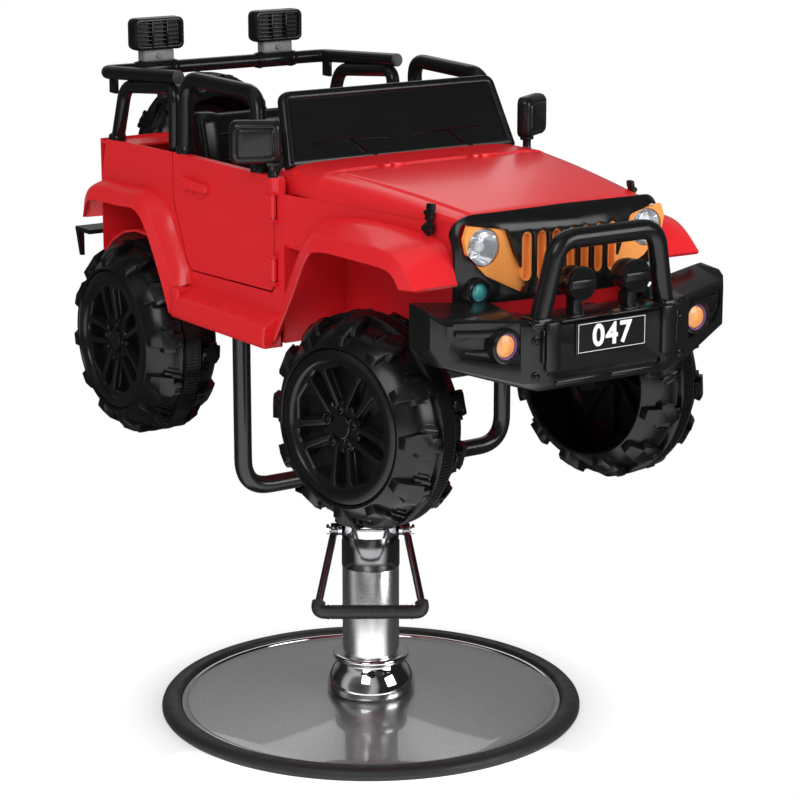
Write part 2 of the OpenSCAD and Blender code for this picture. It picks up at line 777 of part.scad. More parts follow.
module body_shell() {
    arch_z = floor_z + side_h * arch_z_share;
    bay_z = floor_z + side_h * bay_z_share;
    seam_z = floor_z + side_h * hood_seam_share;
    side = at(side_shares, [firewall_y, floor_z], [cabin_l, side_h]);
    trunk_y = firewall_y + cabin_l * side_shares[1][0];
    ledge = cabin_l * ledge_share;
    color("crimson") difference() {
        union() {
            both_sides() side_cut(side, body_x - wall, body_x);
            both_sides() front_side();
            block([-body_x, firewall_y, floor_z], [body_x, trunk_y, floor_z + wall]);
            block([-trunk_x, trunk_y, floor_z], [trunk_x, rear_y, floor_z + wall]);
            both_sides() block([trunk_x - wall, trunk_y, floor_z], [trunk_x, rear_y, axle_z + liner_r]);
            both_sides() side_cut(concat(arc(liner_r), reverse(arc(liner_r + wall))), trunk_x - wall,
                body_x);
            block([-body_x, rear_y - wall, axle_z + liner_r * liner_rear_share],
                [body_x, rear_y, floor_z + side_h * side_shares[8][1]]);
            block([-trunk_x, rear_y - wall, floor_z], [trunk_x, rear_y, arch_z]);
            block([-body_x, rear_y - ledge, floor_z + side_h * side_shares[8][1] - 2 * wall],
                [body_x, rear_y - wall, floor_z + side_h * side_shares[8][1] - wall]);
            block([-body_x, firewall_y, floor_z], [body_x, firewall_y + wall, seam_z]);
            block([-hood_rear_x + wall, firewall_y, floor_z],
                [hood_rear_x - wall, firewall_y + wall, cowl_z]);
            difference() {
                cowl(0, 0);
                cowl(hood_skin, over);
            }
            both_sides() block([bay_x - wall, nose_y, floor_z], [bay_x, firewall_y, bay_z]);
            both_sides() block([bay_x - wall, nose_y, bay_z - wall], [nose_x, hood_y, bay_z]);
            both_sides() block([bay_x - wall, hood_y, bay_z - wall], [body_x - wall, firewall_y, bay_z]);
            block([-bay_x, nose_y, floor_z], [bay_x, firewall_y, floor_z + wall]);
            block([-nose_x, nose_y - wall, bay_z - side_h / 5], [nose_x, nose_y, seam_z]);
            block([-bay_x, nose_y - wall, floor_z], [bay_x, nose_y, bay_z]);
            both_sides() difference() {
                translate([mirror_x - post_r / 2, mirror_y, seam_z])
                    cylinder(h = stem_z - seam_z, r = post_r);
                block([0, door_y - gap, floor_z], [mirror_x + 2 * post_r, mirror_y + 2 * post_r, cowl_z]);
            }
            both_sides() hinge_lugs();
        }
        both_sides() difference() {
            side_cut(door_outline(gap), body_x - wall - over, body_x + over);
            block([body_x - 2 * wall, rear_y, floor_z], [body_x + wall, rear_y + wall, cowl_z]);
        }
        both_sides() for (s = hinge_z_shares)
            block([body_x - wall - over, hinge_y - hinge_r - gap, floor_z + side_h * s - hinge_h / 2 - gap],
                [body_x + over, door_y, floor_z + side_h * s + hinge_h / 2 + gap]);
        for (i = [0:vent_count - 1]) translate([(i - vent_count / 2) * 4 * vent_w, hood_y + vent_l / 2,
            cowl_z])
            cube([vent_w, vent_l, 4 * wall]);
        both_sides() for (y = [cradle_y - sill_y, cradle_y + sill_y])
            translate([trunk_x, y, sill_bolt_z]) rotate([0, 90, 0]) cylinder(h = body_x, r = bolt_r + fit);
        both_sides() for (s = hinge_z_shares) translate([hinge_x, hinge_y, floor_z + side_h * s - hinge_h])
            cylinder(h = 2 * hinge_h, r = hinge_pin_r);
    }
}

// Running boards: cross-section in X and Z as shares of its width and height
board_h = 54;
board_y_share = 0.487;
board_shares = [[0, 0], [0.9, 0], [1, 0.15], [0.96, 0.62], [0.85, 0.72], [0, 1]];

module running_boards() {
    low = floor_z - 2 * wall;
    rear = firewall_y + cabin_l * board_y_share;
    outer = at(board_shares, [body_x, low], [board_x - body_x, board_h]);
    inner = at(board_shares, [body_x, low - wall], [board_x - body_x - wall, board_h]);
    color("crimson") both_sides() difference() {
        front_cut(outer, firewall_y + 3 * wall, rear);
        front_cut(concat(inner, [[body_x, low - 2 * wall]]), firewall_y + 4 * wall, rear - wall);
    }
}

// Fenders: lip, ridge and foot lines along the arch, as shares of its length and height
front_arch_y = -536;
front_arch_l = 408;
arch_h = 187;
front_lip_shares = [[0.075, 0.79], [0.115, 0.88], [0.19, 0.925], [0.41, 0.925], [0.62, 0.91],
    [0.71, 0.82], [0.82, 0.44], [0.95, 0.02]];
front_ridge_shares = [[0, 0.8], [0.1, 0.98], [0.2, 1.05], [0.41, 1.05], [0.64, 1.03], [0.755, 0.92],
    [0.88, 0.48], [1, -0.04]];
front_foot_shares = [[-0.01, 0.81], [0.08, 1.08], [0.2, 1.15], [0.41, 1.19], [0.66, 1.16], [0.81, 1.03],
    [0.94, 0.56], [1.02, 0.08]];
front_foot_x_shares = [0.8, 0.78, 0.8, 0.88, 0.93, 0.97, 1, 1];
rear_arch_y = 186;
rear_arch_l = 320;
rear_lip_shares = [[0.03, 0.02], [0.09, 0.23], [0.19, 0.53], [0.3, 0.79], [0.41, 0.9], [0.6, 0.89],
    [0.9, 0.87], [0.97, 0.8], [1, 0.68]];
rear_ridge_shares = [[0, 0.26], [0.05, 0.38], [0.17, 0.66], [0.27, 0.9], [0.4, 1.02], [0.6, 1.01],
    [0.9, 1], [1.01, 0.88], [1.03, 0.68]];
rear_foot_shares = [[-0.04, 0.3], [0, 0.45], [0.11, 0.72], [0.21, 0.96], [0.38, 1.08], [0.6, 1.07],
    [0.86, 1.06], [0.955, 0.96], [0.96, 0.7]];

function toward(p, centre) = p + unit(centre - p) * wall;

// Cross-section of a fender: foot on the body, ridge and lip, then back along the inside
function fender_ring(foot, ridge, lip, foot_x, centre) =
    let (f = toward(foot, centre), r = toward(ridge, centre))
    [[foot_x, foot[0], foot[1]], [fender_x - wall * 2, ridge[0], ridge[1]], [fender_x, lip[0], lip[1]],
     [fender_x - wall, lip[0], lip[1]], [fender_x - wall * 3, r[0], r[1]], [foot_x, f[0], f[1]]];

module fender(lips, ridges, feet, foot_x, origin, size, centre) {
    lip = at(lips, origin, size);
    ridge = at(ridges, origin, size);
    foot = at(feet, origin, size);
    loft([for (i = [0:len(lip) - 1]) fender_ring(foot[i], ridge[i], lip[i], foot_x[i], centre)]);
}

module front_fender() {
    fender(front_lip_shares, front_ridge_shares, front_foot_shares,
        [for (s = front_foot_x_shares) s * body_x],
        [front_arch_y, floor_z + 2 * wall], [front_arch_l, arch_h], [kingpin_y, axle_z]);
}

module rear_fender() {
    fender(rear_lip_shares, rear_ridge_shares, rear_foot_shares, [for (s = rear_lip_shares) body_x],
        [rear_arch_y, floor_z - 2 * wall], [rear_arch_l, arch_h], [rear_axle_y, axle_z]);
}

module fenders_front() { color("red") both_sides() front_fender(); }
module fenders_rear() { color("red") both_sides() rear_fender(); }

// Doors with their window hoops and hinge pins
door_t = 14;
handle_l = 78;
handle_h = 16;
handle_t = 7;
handle_y_share = 0.75;
handle_z_share = 0.76;
hoop_r = 13;
hoop_bend = 34;
hoop_rear_share = 0.93;
hoop_front_share = 0.19;

module door() {
    lugs = [for (s = hinge_z_shares) floor_z + side_h * s];
    top = floor_z + side_h * door_top_shares[0][1];
    outline = [for (p = door_outline(-gap)) [p[0], min(p[1], top)]];
    color("crimson") difference() {
        union() {
            side_cut(outline, body_x - door_t, body_x);
            translate([body_x - over, door_y + door_l * handle_y_share - handle_l / 2,
                floor_z + side_h * handle_z_share])
                cube([handle_t, handle_l, handle_h]);
            for (z = lugs) translate([hinge_x, hinge_y, z - hinge_h / 2]) cylinder(h = hinge_h, r = hinge_r);
            for (z = lugs) block([body_x - wall, hinge_y, z - hinge_h / 2],
                [body_x + hinge_r, door_y + 3 * hinge_r, z + hinge_h / 2]);
        }
        for (z = lugs) translate([hinge_x, hinge_y, z - hinge_h])
            cylinder(h = 2 * hinge_h, r = hinge_pin_r + fit);
    }
}

module door_right() { mirror([1, 0, 0]) door(); }
module door_left() { door(); }

module hoop() {
    top = floor_z + side_h * door_top_shares[0][1];
    rear = door_y + door_l * hoop_rear_share;
    front = door_y + door_l * hoop_front_share;
    foot_x = body_x - door_t;
    color([0.08, 0.08, 0.09]) difference() {
        bent_tube([[foot_x - over, rear, top - hoop_r], [cage_x + 2 * wall, rear, cage_z + wall],
            [cage_x, front + 2 * hoop_r, cage_z],
            [foot_x - over, front, top - hoop_r]], hoop_r, hoop_bend, [1, 0, 0]);
        block([foot_x - 2 * hoop_r, front - 2 * hoop_r, top - 3 * hoop_r],
            [foot_x + 3 * hoop_r, rear + 2 * hoop_r, top]);
    }
}

module hoop_right() { mirror([1, 0, 0]) hoop(); }
module hoop_left() { hoop(); }

module door_pins() {
    color("silver") both_sides() for (s = hinge_z_shares)
        translate([hinge_x, hinge_y, floor_z + side_h * s - hinge_h / 2 - gap - hinge_r])
            cylinder(h = hinge_h + 2 * gap + 2 * hinge_r, r = hinge_pin_r);
}

// Hood: half outline across the car as shares of its half width and height, at stations along it
hood_nose_y = -520;
hood_crown_shares = [[1, 0], [0.995, 0.45], [0.97, 0.72], [0.9, 0.9], [0.76, 0.97], [0.45, 0.99], [0, 1]];
hood_station_shares = [0, 0.3, 0.6, 0.85, 0.96, 1];
hood_drop_shares = [0, 0.2, 0.5, 0.82, 1, 1.25];
hood_width_shares = [0, 0.28, 0.58, 0.85, 0.97, 1];
hood_skin = 5;
hood_hinge_x = 87;
cowl_rear_y = -86;

// Crowned outline across the car
function crown(y, half, low, top) = both_ways([for (s = hood_crown_shares) [s[0] * half, y,
    mix(low, top, s[1])]]);

function hood_ring(i, inset) =
    crown(mix(hood_y, hood_nose_y, hood_station_shares[i]) + (i == 0 && inset > 0 ? over : 0),
        mix(hood_rear_x, nose_x, hood_width_shares[i]) - inset,
        floor_z + side_h * hood_seam_share + seat_gap - (inset > 0 ? over : 0),
        hood_z - hood_drop * hood_drop_shares[i] - inset);

// Cowl between the hood and the windshield
module cowl(inset, extra) {
    low = floor_z + side_h * hood_seam_share - extra;
    loft([crown(cowl_rear_y + extra, hood_rear_x - inset, low, hood_z - inset),
        crown(hood_y + gap - extra, hood_rear_x - inset, low, hood_z - inset)]);
}

module hood() {
    color("red") {
        difference() {
            loft([for (i = [0:len(hood_station_shares) - 1]) hood_ring(i, 0)]);
            loft([for (i = [0:len(hood_station_shares) - 2]) hood_ring(i, hood_skin)]);
        }
        both_sides() translate([hood_hinge_x - hinge_h / 4, hood_y - 3 * hinge_r, hood_z - wall])
            cube([hinge_h / 2, 3 * hinge_r, wall + hinge_pin_r]);
        both_sides() translate([hood_hinge_x - hinge_h / 4, hood_y + gap, hood_z + hinge_pin_r])
            rotate([0, 90, 0]) cylinder(h = hinge_h / 2, r = hinge_pin_r - seat_gap);
    }
}

// Windshield
screen_top_share = 0.925;
screen_y = -108;
frame_w = 15;
recess = 4;
wiper_l = 74;
wiper_w = 7;
wiper_turn = 35;
wiper_z_share = 0.24;
wiper_x_share = 0.42;

module windshield() {
    top = screen_x * screen_top_share;
    outer = [[-screen_x, 0], [screen_x, 0], [top, screen_h], [-top, screen_h]];
    inner = [[frame_w - screen_x, frame_w], [screen_x - frame_w, frame_w],
        [top - frame_w, screen_h - frame_w / 2],
        [frame_w - top, screen_h - frame_w / 2]];
    color([0.07, 0.07, 0.08]) difference() {
        translate([0, screen_y, hood_z]) rotate([90 - screen_lean, 0, 0])
            translate([0, -frame_w / 2, 0]) difference() {
            translate([0, 0, -screen_t]) linear_extrude(screen_t) polygon(outer);
            translate([0, 0, -recess]) linear_extrude(screen_t) polygon(inner);
        }
        cowl(0, 0);
    }
    color([0.07, 0.07, 0.08]) translate([0, screen_y, hood_z]) rotate([90 - screen_lean, 0, 0]) {
        for (s = [-1, 1]) translate([s * screen_x * wiper_x_share, screen_h * wiper_z_share,
            -recess - over / 2]) {
            translate([-wiper_l, 0, 0]) cube([2 * wiper_l, wiper_w, recess]);
            rotate([0, 0, -wiper_turn]) translate([0, -wiper_w / 2, 0]) cube([wiper_l / 2, wiper_w, recess]);
        }
    }
}

// Grille mask: profile in Y and Z at stations across the car
mask_x = 199;
mask_t = 7;
mask_low = 838;
mask_station_shares = [0, 0.35, 0.65, 0.88, 1];
mask_back_shares = [0, 0.08, 0.28, 0.68, 1];
mask_sweep = 30;
mask_brow = 26;
brow_taper_share = 0.6;
mask_rise = 30;
slot_top = 942;
slot_low = 866;
lens_x = 157;
lens_z = 924;
lens_r = 29;
marker_x = 166;
marker_z = 857;
marker_r = 14;
// Surround of a headlight in X and Z, as shares of the nose half width and of the grille's height
surround_shares = [[1.03, 0.88], [0.66, 0.8], [0.46, 0.17], [0.49, 0.08], [0.85, 0.31], [1.04, 0.57],
    [1.07, 0.74]];

function surround(grow) =
    let (points = at(surround_shares, [0, mask_low], [nose_x, grille_z - mask_low]),
        centre = [lens_x, lens_z] - [lens_r, lens_r])
    [for (p = points) p + unit(p - centre) * grow];

function mask_ring(i, inset) =
    let (x = mask_x * mask_station_shares[i], back = mask_sweep * mask_back_shares[i],
         y = grille_y + back, drop = back / 4)
    [[x, y + mask_brow * (1 - brow_taper_share * mask_station_shares[i]) + inset,
        grille_z - drop - inset / 4],
     [x, y + inset, grille_z - mask_rise - drop],
     [x, y + inset, mask_low]];

module mask_half() {
    loft([for (i = [0:len(mask_station_shares) - 1]) concat(mask_ring(i, 0),
        reverse(mask_ring(i, mask_t)))]);
    block([lens_x - 2 * lens_r + wall, grille_y + mask_sweep / 2, mask_low + wall],
        [lens_x - 2 * lens_r + 2 * wall, nose_y - wall, mask_low + 4 * wall]);
}

// Outline of one slot, grown by a rim
module slot_shape(grow) {
    r = slot_w / 2 + grow;
    translate([-r, slot_low + slot_w / 2]) square([2 * r, slot_top - slot_low - slot_w]);
    translate([0, slot_low + slot_w / 2]) circle(r, $fn = 20);
    translate([0, slot_top - slot_w / 2]) circle(r, $fn = 20);
}

module grille_mask() {
    color([0.07, 0.07, 0.08]) difference() {
        both_sides() mask_half();
        for (i = [0:slot_count - 1]) translate([(i - (slot_count - 1) / 2) * slot_pitch,
            grille_y + mask_sweep, 0])
            rotate([90, 0, 0]) linear_extrude(2 * mask_sweep) slot_shape(gap);
        both_sides() front_cut(surround(gap), grille_y - mask_sweep, grille_y + 2 * mask_sweep);
        both_sides() translate([marker_x, grille_y + 2 * mask_sweep, marker_z]) rotate([90, 0, 0])
            cylinder(h = 3 * mask_sweep, r = marker_r + gap);
    }
}

// Orange panel behind the mask, with the slot rims and the headlight surrounds
insert_t = 3;
module grille_insert() {
    back = grille_y + mask_sweep / 3 + mask_t;
    color("orange") {
        block([-slot_pitch * slot_count / 2, back, slot_low - slot_w / 2],
            [slot_pitch * slot_count / 2, back + insert_t, slot_top + slot_w / 3]);
        both_sides() block([slot_pitch, back, slot_low], [slot_pitch + wall, nose_y - wall, slot_top]);
        for (i = [0:slot_count - 1]) translate([(i - (slot_count - 1) / 2) * slot_pitch,
            back + insert_t / 3, 0])
            rotate([90, 0, 0]) linear_extrude(mask_t + insert_t)
                difference() { slot_shape(0); slot_shape(-insert_t); }
        both_sides() difference() {
            front_cut(surround(0), grille_y + mask_sweep / 2, back + insert_t * 2);
            translate([lens_x, back + insert_t * 3, lens_z]) rotate([90, 0, 0])
                cylinder(h = 2 * mask_sweep, r = lens_r + gap / 3);
        }
    }
}

module headlights() {
    color("white") both_sides() intersection() {
        translate([lens_x, nose_y - wall, lens_z]) rotate([90, 0, 0])
            cylinder(h = nose_y - wall - grille_y - mask_sweep / 2, r = lens_r);
        front_cut(surround(0), grille_y, nose_y);
    }
}

// Front bumper: stations across the car as shares of its half width, places as shares of its depth
// and height
bumper_depth = 124;
bumper_low = 717;
bumper_h = 136;
bumper_skin = 6;
bumper_x_shares = [0, 0.43, 0.56, 0.95, 1];
bumper_front_shares = [0, 0, 0.06, 0.42, 0.56];
bumper_back_shares = [0.6, 0.6, 0.72, 0.96, 1];
bumper_top_shares = [[0.78, 0.78], [0.78, 0.8], [0.93, 0.83], [0.99, 0.87], [0.99, 0.96]];
bumper_low_shares = [[0, 0.1], [0, 0.11], [0.07, 0.13], [0.33, 0.36], [0.5, 0.55]];
fog_x = 183;
fog_y = -634;
fog_z = 793;
fog_r = 20;
stud_r = 4;

function bumper_ring(i, inset) =
    let (x = bumper_x * bumper_x_shares[i] - (i == len(bumper_x_shares) - 1 ? inset : 0),
         front = bumper_y + bumper_depth * bumper_front_shares[i] + inset,
         back = bumper_y + bumper_depth * bumper_back_shares[i] + (inset > 0 ? over : 0),
         top = [for (s = bumper_top_shares[i]) bumper_low + bumper_h * s - inset],
         low = [for (s = bumper_low_shares[i]) bumper_low + bumper_h * s + inset])
    [[x, back, top[0]], [x, front + bumper_depth / 12, top[1]], [x, front, top[1] - bumper_h / 16],
     [x, front, low[1] + inset], [x, front + bumper_depth / 8, low[0]], [x, back, low[0]]];

module bumper_half(inset) {
    loft([for (i = [0:len(bumper_x_shares) - 1]) bumper_ring(i, inset)]);
}

module front_bumper() {
    color([0.06, 0.06, 0.065]) {
        difference() {
            both_sides() bumper_half(0);
            both_sides() bumper_half(bumper_skin);
            both_sides() translate([fog_x, fog_y + fog_r, fog_z]) rotate([90, 0, 0])
                cylinder(h = 3 * fog_r, r = fog_r + gap / 3);
        }
        both_sides() for (s = [0.2, 0.6])
            translate([bumper_x * bumper_x_shares[1] - 2 * stud_r, bumper_y,
                mix(bumper_low, bumper_low + bumper_h, s)])
            rotate([90, 0, 0]) cylinder(h = stud_r / 2, r = stud_r);
        both_sides() block([bay_x / 2, bumper_y + bumper_skin / 2, bumper_low + bumper_h / 3],
            [bay_x / 2 + 3 * wall, nose_y - wall, bumper_low + bumper_h * 2 / 3]);
    }
}

plate_z = 793;
module number_plate() {
    color([0.04, 0.04, 0.045]) translate([-number_w / 2, bumper_y - wall, plate_z - number_h / 2])
        cube([number_w, wall, number_h]);
}

bull_foot_x = 122;
bull_top_x = 93;
bull_y = -634;
bull_top_z = 944;
bull_bend = 26;
bull_lean = 10;
module bull_bar() {
    foot_z = bumper_low + bumper_h * bumper_top_shares[1][0];
    path = [[-bull_foot_x, bull_y, foot_z - bull_r], [-bull_top_x, bull_y - bull_lean, bull_top_z],
        [bull_top_x, bull_y - bull_lean, bull_top_z],
        [bull_foot_x, bull_y, foot_z - bull_r]];
    color([0.08, 0.08, 0.09]) difference() {
        bent_tube(path, bull_r, bull_bend, [0, 1, 0]);
        both_sides() bumper_half(0);
    }
}

lamp_x = 52;
lamp_z = 875;
lamp_y = -652;
lamp_l = 46;
module driving_lamps() {
    foot_z = bumper_low + bumper_h * bumper_top_shares[0][0];
    color([0.1, 0.1, 0.1]) both_sides() difference() {
        union() {
            translate([lamp_x, lamp_y + lamp_l, lamp_z]) rotate([90, 0, 0]) cylinder(h = lamp_l, r = lamp_r);
            translate([lamp_x, lamp_y + lamp_l / 2, foot_z - bumper_h / 8])
                cylinder(h = lamp_z - foot_z, r = lamp_r / 3);
        }
        both_sides() bumper_half(0);
    }
}

module small_lamps() {
    color("gold") both_sides() translate([fog_x, fog_y + fog_r, fog_z]) rotate([90, 0, 0])
        cylinder(h = fog_r + wall, r = fog_r);
    color("turquoise") both_sides() translate([marker_x, nose_y - wall, marker_z]) rotate([90, 0, 0])
        cylinder(h = nose_y - wall - grille_y - mask_sweep / 2, r = marker_r);
}

latch_w = 13;
latch_h = 44;
latch_t = 7;
latch_y = -466;
latch_z = 936;
latch_x_share = 0.25;
module hood_latches() {
    x = mix(nose_x, hood_rear_x, latch_x_share) + gap;
    slope = atan((hood_rear_x - nose_x) / (hood_y - nose_y));
    color([0.05, 0.05, 0.05]) both_sides() translate([x - wall / 2, latch_y, latch_z])
        rotate([0, 0, -slope]) {
        cube([latch_t, latch_w, latch_h / 3]);
        translate([wall / 2, latch_w / 4, 0]) cube([latch_t / 2, latch_w / 2, latch_h]);
        translate([wall / 2, 0, latch_h * 3 / 4]) cube([latch_t, latch_w, latch_h / 4]);
    }
}

// Roll cage: posts, rails and the rear rack
post_y = 476;
pillar_y = door_y + door_l + pillar_space;
cage_bend = 26;
sleeve_l = 84;
rail_drop_share = 1.6;
module roll_cage() {
    foot_z = floor_z + side_h * side_shares[8][1] - wall;
    pillar_z = foot_z - side_h / 8;
    drop = rail_drop_share * cage_r;
    color([0.07, 0.07, 0.075]) {
        both_sides() {
            difference() {
                bent_tube([[cage_x, post_y, foot_z - wall], [cage_x, post_y - 3 * cage_r, rack_z - drop],
                    [cage_x, pillar_y, cage_z - drop],
                    [cage_x, pillar_y + wall, pillar_z]], cage_r, cage_bend, [1, 0, 0]);
                block([cage_x - 2 * cage_r, post_y - 2 * cage_r, foot_z - 2 * cage_r],
                    [cage_x + 2 * cage_r, post_y + 2 * cage_r, foot_z]);
            }
            block([cage_x - wall, rack_y - 3 * cage_r, rack_z - 3 * cage_r],
                [cage_x + wall, rack_y - cage_r, rack_z]);
            block([cage_x - cage_r, pillar_y - cage_r + wall, pillar_z - over],
                [body_x - wall, pillar_y + cage_r + wall, pillar_z + cage_r]);
        }
        bent_tube([[-cage_x, pillar_y - cage_r, cage_z], [-cage_x - 2 * wall, rack_y, rack_z],
            [cage_x + 2 * wall, rack_y, rack_z],
            [cage_x, pillar_y - cage_r, cage_z]], cage_r, cage_bend, [0, 0, 1]);
        for (s = [-1, 1]) translate([s * roof_lamp_x - sleeve_l / 2, rack_y, rack_z]) rotate([0, 90, 0])
            cylinder(h = sleeve_l, r = cage_r + wall / 2);
    }
}

roof_lamp_t = 34;
roof_foot_w = 64;
module roof_lamps() {
    low = rack_z + cage_r + wall / 2;
    color([0.08, 0.08, 0.085]) both_sides() translate([roof_lamp_x, rack_y, low]) {
        translate([-roof_foot_w / 2, -cage_r, -wall / 2]) difference() {
            cube([roof_foot_w, 2 * cage_r, 2 * cage_r]);
            translate([-over, cage_r, wall / 2 - low + rack_z]) rotate([0, 90, 0])
                cylinder(h = roof_foot_w + 2 * over, r = cage_r + wall / 2);
        }
        translate([-roof_lamp_w / 2, -roof_lamp_t / 2, 2 * cage_r - wall / 2])
            cube([roof_lamp_w, roof_lamp_t, roof_lamp_h]);
    }
}

// Cabin
seat_front_y = 60;
seat_back_y = 352;
cushion_shares = [[0, 0], [0, 0.92], [0.05, 1], [0.68, 0.92], [0.68, 0]];
back_shares = [[0.6, 0], [0.72, 0.1], [0.87, 0.97], [0.9, 1], [0.98, 1], [1, 0.97], [0.98, 0]];
module seat() {
    low = floor_z + wall;
    deep = seat_back_y - seat_front_y;
    color([0.1, 0.1, 0.1]) {
        side_cut(at(cushion_shares, [seat_front_y, low], [deep, seat_z - low]), -seat_w / 2, seat_w / 2);
        side_cut(at(back_shares, [seat_front_y, seat_z - low + low - wall - ring_tube_r],
            [deep, seat_top - seat_z + wall + ring_tube_r]), -seat_w / 2, seat_w / 2);
        side_cut(at([[0.6, 0], [0.6, 1], [0.98, 1], [0.98, 0]], [seat_front_y, low],
            [deep, seat_z - low]), -seat_w / 2, seat_w / 2);
    }
}

dash_shares = [[0, 0], [0.6, 0.1], [1, 0.7], [0.9, 1], [0, 1]];
dash_l = 70;
dash_h = 108;
dash_x_share = 0.9;
module dashboard() {
    color([0.09, 0.09, 0.1]) side_cut(at(dash_shares, [firewall_y + wall, cowl_z - wall - dash_h],
        [dash_l, dash_h]), -hood_rear_x * dash_x_share, hood_rear_x * dash_x_share);
}

column_lean = 62;
wheel_y = 2;
wheel_z = 968;
steer_rod_r = 9;
ring_tube_r = 8;
boss_r = 24;
boss_t = 20;
column_l = 98;

module on_column() {
    translate([0, wheel_y, wheel_z]) rotate([-column_lean, 0, 0]) children();
}

module steering_wheel() {
    color([0.06, 0.06, 0.06]) on_column() {
        rotate_extrude() translate([steering_r, 0]) circle(ring_tube_r, $fn = 24);
        for (a = [90, 210, 330]) rotate([0, 0, a])
            translate([boss_r / 2, -ring_tube_r, -ring_tube_r / 2])
                cube([steering_r - boss_r / 2, 2 * ring_tube_r, ring_tube_r]);
        translate([0, 0, -boss_t / 2]) difference() {
            cylinder(h = boss_t, r = boss_r);
            translate([0, 0, -over]) cylinder(h = boss_t * 3 / 4, r = steer_rod_r + fit);
        }
    }
}

module steering_column() {
    color([0.12, 0.12, 0.12]) difference() {
        on_column() {
            translate([0, 0, -column_l]) cylinder(h = column_l + boss_t / 8, r = steer_rod_r);
            translate([0, 0, -column_l]) cylinder(h = column_l - boss_t, r = steer_rod_r * 5 / 3);
        }
        dashboard();
    }
}

// Mirrors
mirror_w = 84;
mirror_h = 70;
mirror_t = 26;
mirror_sweep = 30;
stem_r = 7;
stem_z = 981;
mirror_low = 1003;
mirror_inner = 15;
module mirror_unit() {
    color([0.07, 0.07, 0.075]) translate([mirror_x, mirror_y, 0]) rotate([0, 0, mirror_sweep]) {
        translate([-mirror_inner, -mirror_t / 2, mirror_low]) cube([mirror_w, mirror_t, mirror_h]);
        translate([0, 0, stem_z + fit]) cylinder(h = mirror_low - stem_z + over, r = stem_r);
    }
}

module mirror_left() { mirror_unit(); }
module mirror_right() { mirror([1, 0, 0]) mirror_unit(); }

// Rear bumper with a horn at each end, and the spare wheel
rear_bumper_l = 54;
rear_bumper_h = 46;
rear_bumper_z = 800;
rear_bumper_x = 280;
horn_w = 14;
module rear_bumper() {
    z = rear_bumper_z;
    rear = rear_y + rear_bumper_l;
    horn = [[rear_bumper_x, z + wall], [rear_bumper_x - horn_w, z + wall],
        [rear_bumper_x - horn_w, z - rear_bumper_h],
        [rear_bumper_x - horn_w / 2, z - rear_bumper_h]];
    color([0.06, 0.06, 0.065]) difference() {
        union() {
            block([-rear_bumper_x, rear_y, z], [rear_bumper_x, rear, z + 2 * wall]);
            both_sides() front_cut(horn, rear - 2 * wall, rear);
        }
        block([-spare_r * 2 / 3, rear_y + 2 * wall, z - wall], [spare_r * 2 / 3, rear + over, z + 3 * wall]);
    }
}

spare_w = 90;
spare_gap = 12;
module spare_wheel() {
    translate([0, rear_y + spare_gap + spare_w, spare_z]) rotate([0, 0, -90]) {
        hollow_tyre(spare_r, spare_w, spare_r * rim_r / tyre_r);
        rim(spare_r * rim_r / tyre_r, spare_w, rim_depth, axle_r + fit);
    }
}

module spare_carrier() {
    color([0.15, 0.15, 0.16]) {
        translate([0, rear_y + spare_gap, spare_z]) rotate([90, 0, 0])
            cylinder(h = spare_gap, r = 3 * axle_r);
        translate([0, rear_y + spare_gap + spare_w - spoke_t - gap, spare_z]) rotate([90, 0, 0])
            cylinder(h = spare_w + spare_gap - spoke_t - gap, r = axle_r);
    }
}

base_plate();
base_ring();
base_neck();
pump_column();
pump_sleeve();
pump_cylinder();
pump_head();
pedal_pins();
pedal_bar();
pedal_grip();
lift_ram();
thrust_washer();
turn_plate();
cross_beam();
cradle_tube();
frame_bolts();
tyre_front_right();
tyre_front_left();
tyre_rear_right();
tyre_rear_left();
rim_front_right();
rim_front_left();
rim_rear_right();
rim_rear_left();
knuckle_right();
knuckle_left();
tie_rod();
front_axle();
rear_axle();
body_shell();
running_boards();
fenders_front();
fenders_rear();
door_right();
door_left();
hoop_right();
hoop_left();
door_pins();
hood();
windshield();
grille_mask();
grille_insert();
headlights();
small_lamps();
front_bumper();
number_plate();
bull_bar();
driving_lamps();
hood_latches();
roll_cage();
roof_lamps();
seat();
dashboard();
steering_wheel();
steering_column();
mirror_right();
mirror_left();
rear_bumper();
spare_carrier();
spare_wheel();
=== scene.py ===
import json
import math

import bmesh
import bpy
from mathutils import Matrix, Vector


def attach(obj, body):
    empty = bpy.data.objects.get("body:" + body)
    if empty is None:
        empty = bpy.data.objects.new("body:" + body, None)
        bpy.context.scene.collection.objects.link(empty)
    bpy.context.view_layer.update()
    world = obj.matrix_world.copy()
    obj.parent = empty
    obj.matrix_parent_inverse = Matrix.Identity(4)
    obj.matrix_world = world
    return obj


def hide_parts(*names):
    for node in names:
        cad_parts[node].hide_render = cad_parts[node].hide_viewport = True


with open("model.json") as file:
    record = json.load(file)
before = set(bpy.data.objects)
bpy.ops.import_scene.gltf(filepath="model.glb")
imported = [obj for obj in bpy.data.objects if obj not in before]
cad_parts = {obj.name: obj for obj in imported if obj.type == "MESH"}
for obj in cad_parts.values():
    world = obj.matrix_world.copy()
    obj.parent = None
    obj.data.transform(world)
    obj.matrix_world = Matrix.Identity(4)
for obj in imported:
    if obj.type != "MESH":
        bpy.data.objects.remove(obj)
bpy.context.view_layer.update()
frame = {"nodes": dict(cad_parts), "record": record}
record = frame["record"]
bodyOf = {}
for bodyName, nodeNames in record["behaviour"]["bodies"].items():
    for nodeName in nodeNames:
        bodyOf[nodeName] = bodyName
print("frame loaded:", len(frame["nodes"]), "nodes")

scene = bpy.context.scene
fullTurn = 2.0 * math.pi
flipX = Matrix.Scale(-1.0, 4, (1, 0, 0))
plainWhite = (1.0, 1.0, 1.0, 1.0)


# Node trees: a node is made with its settings and inputs in one call

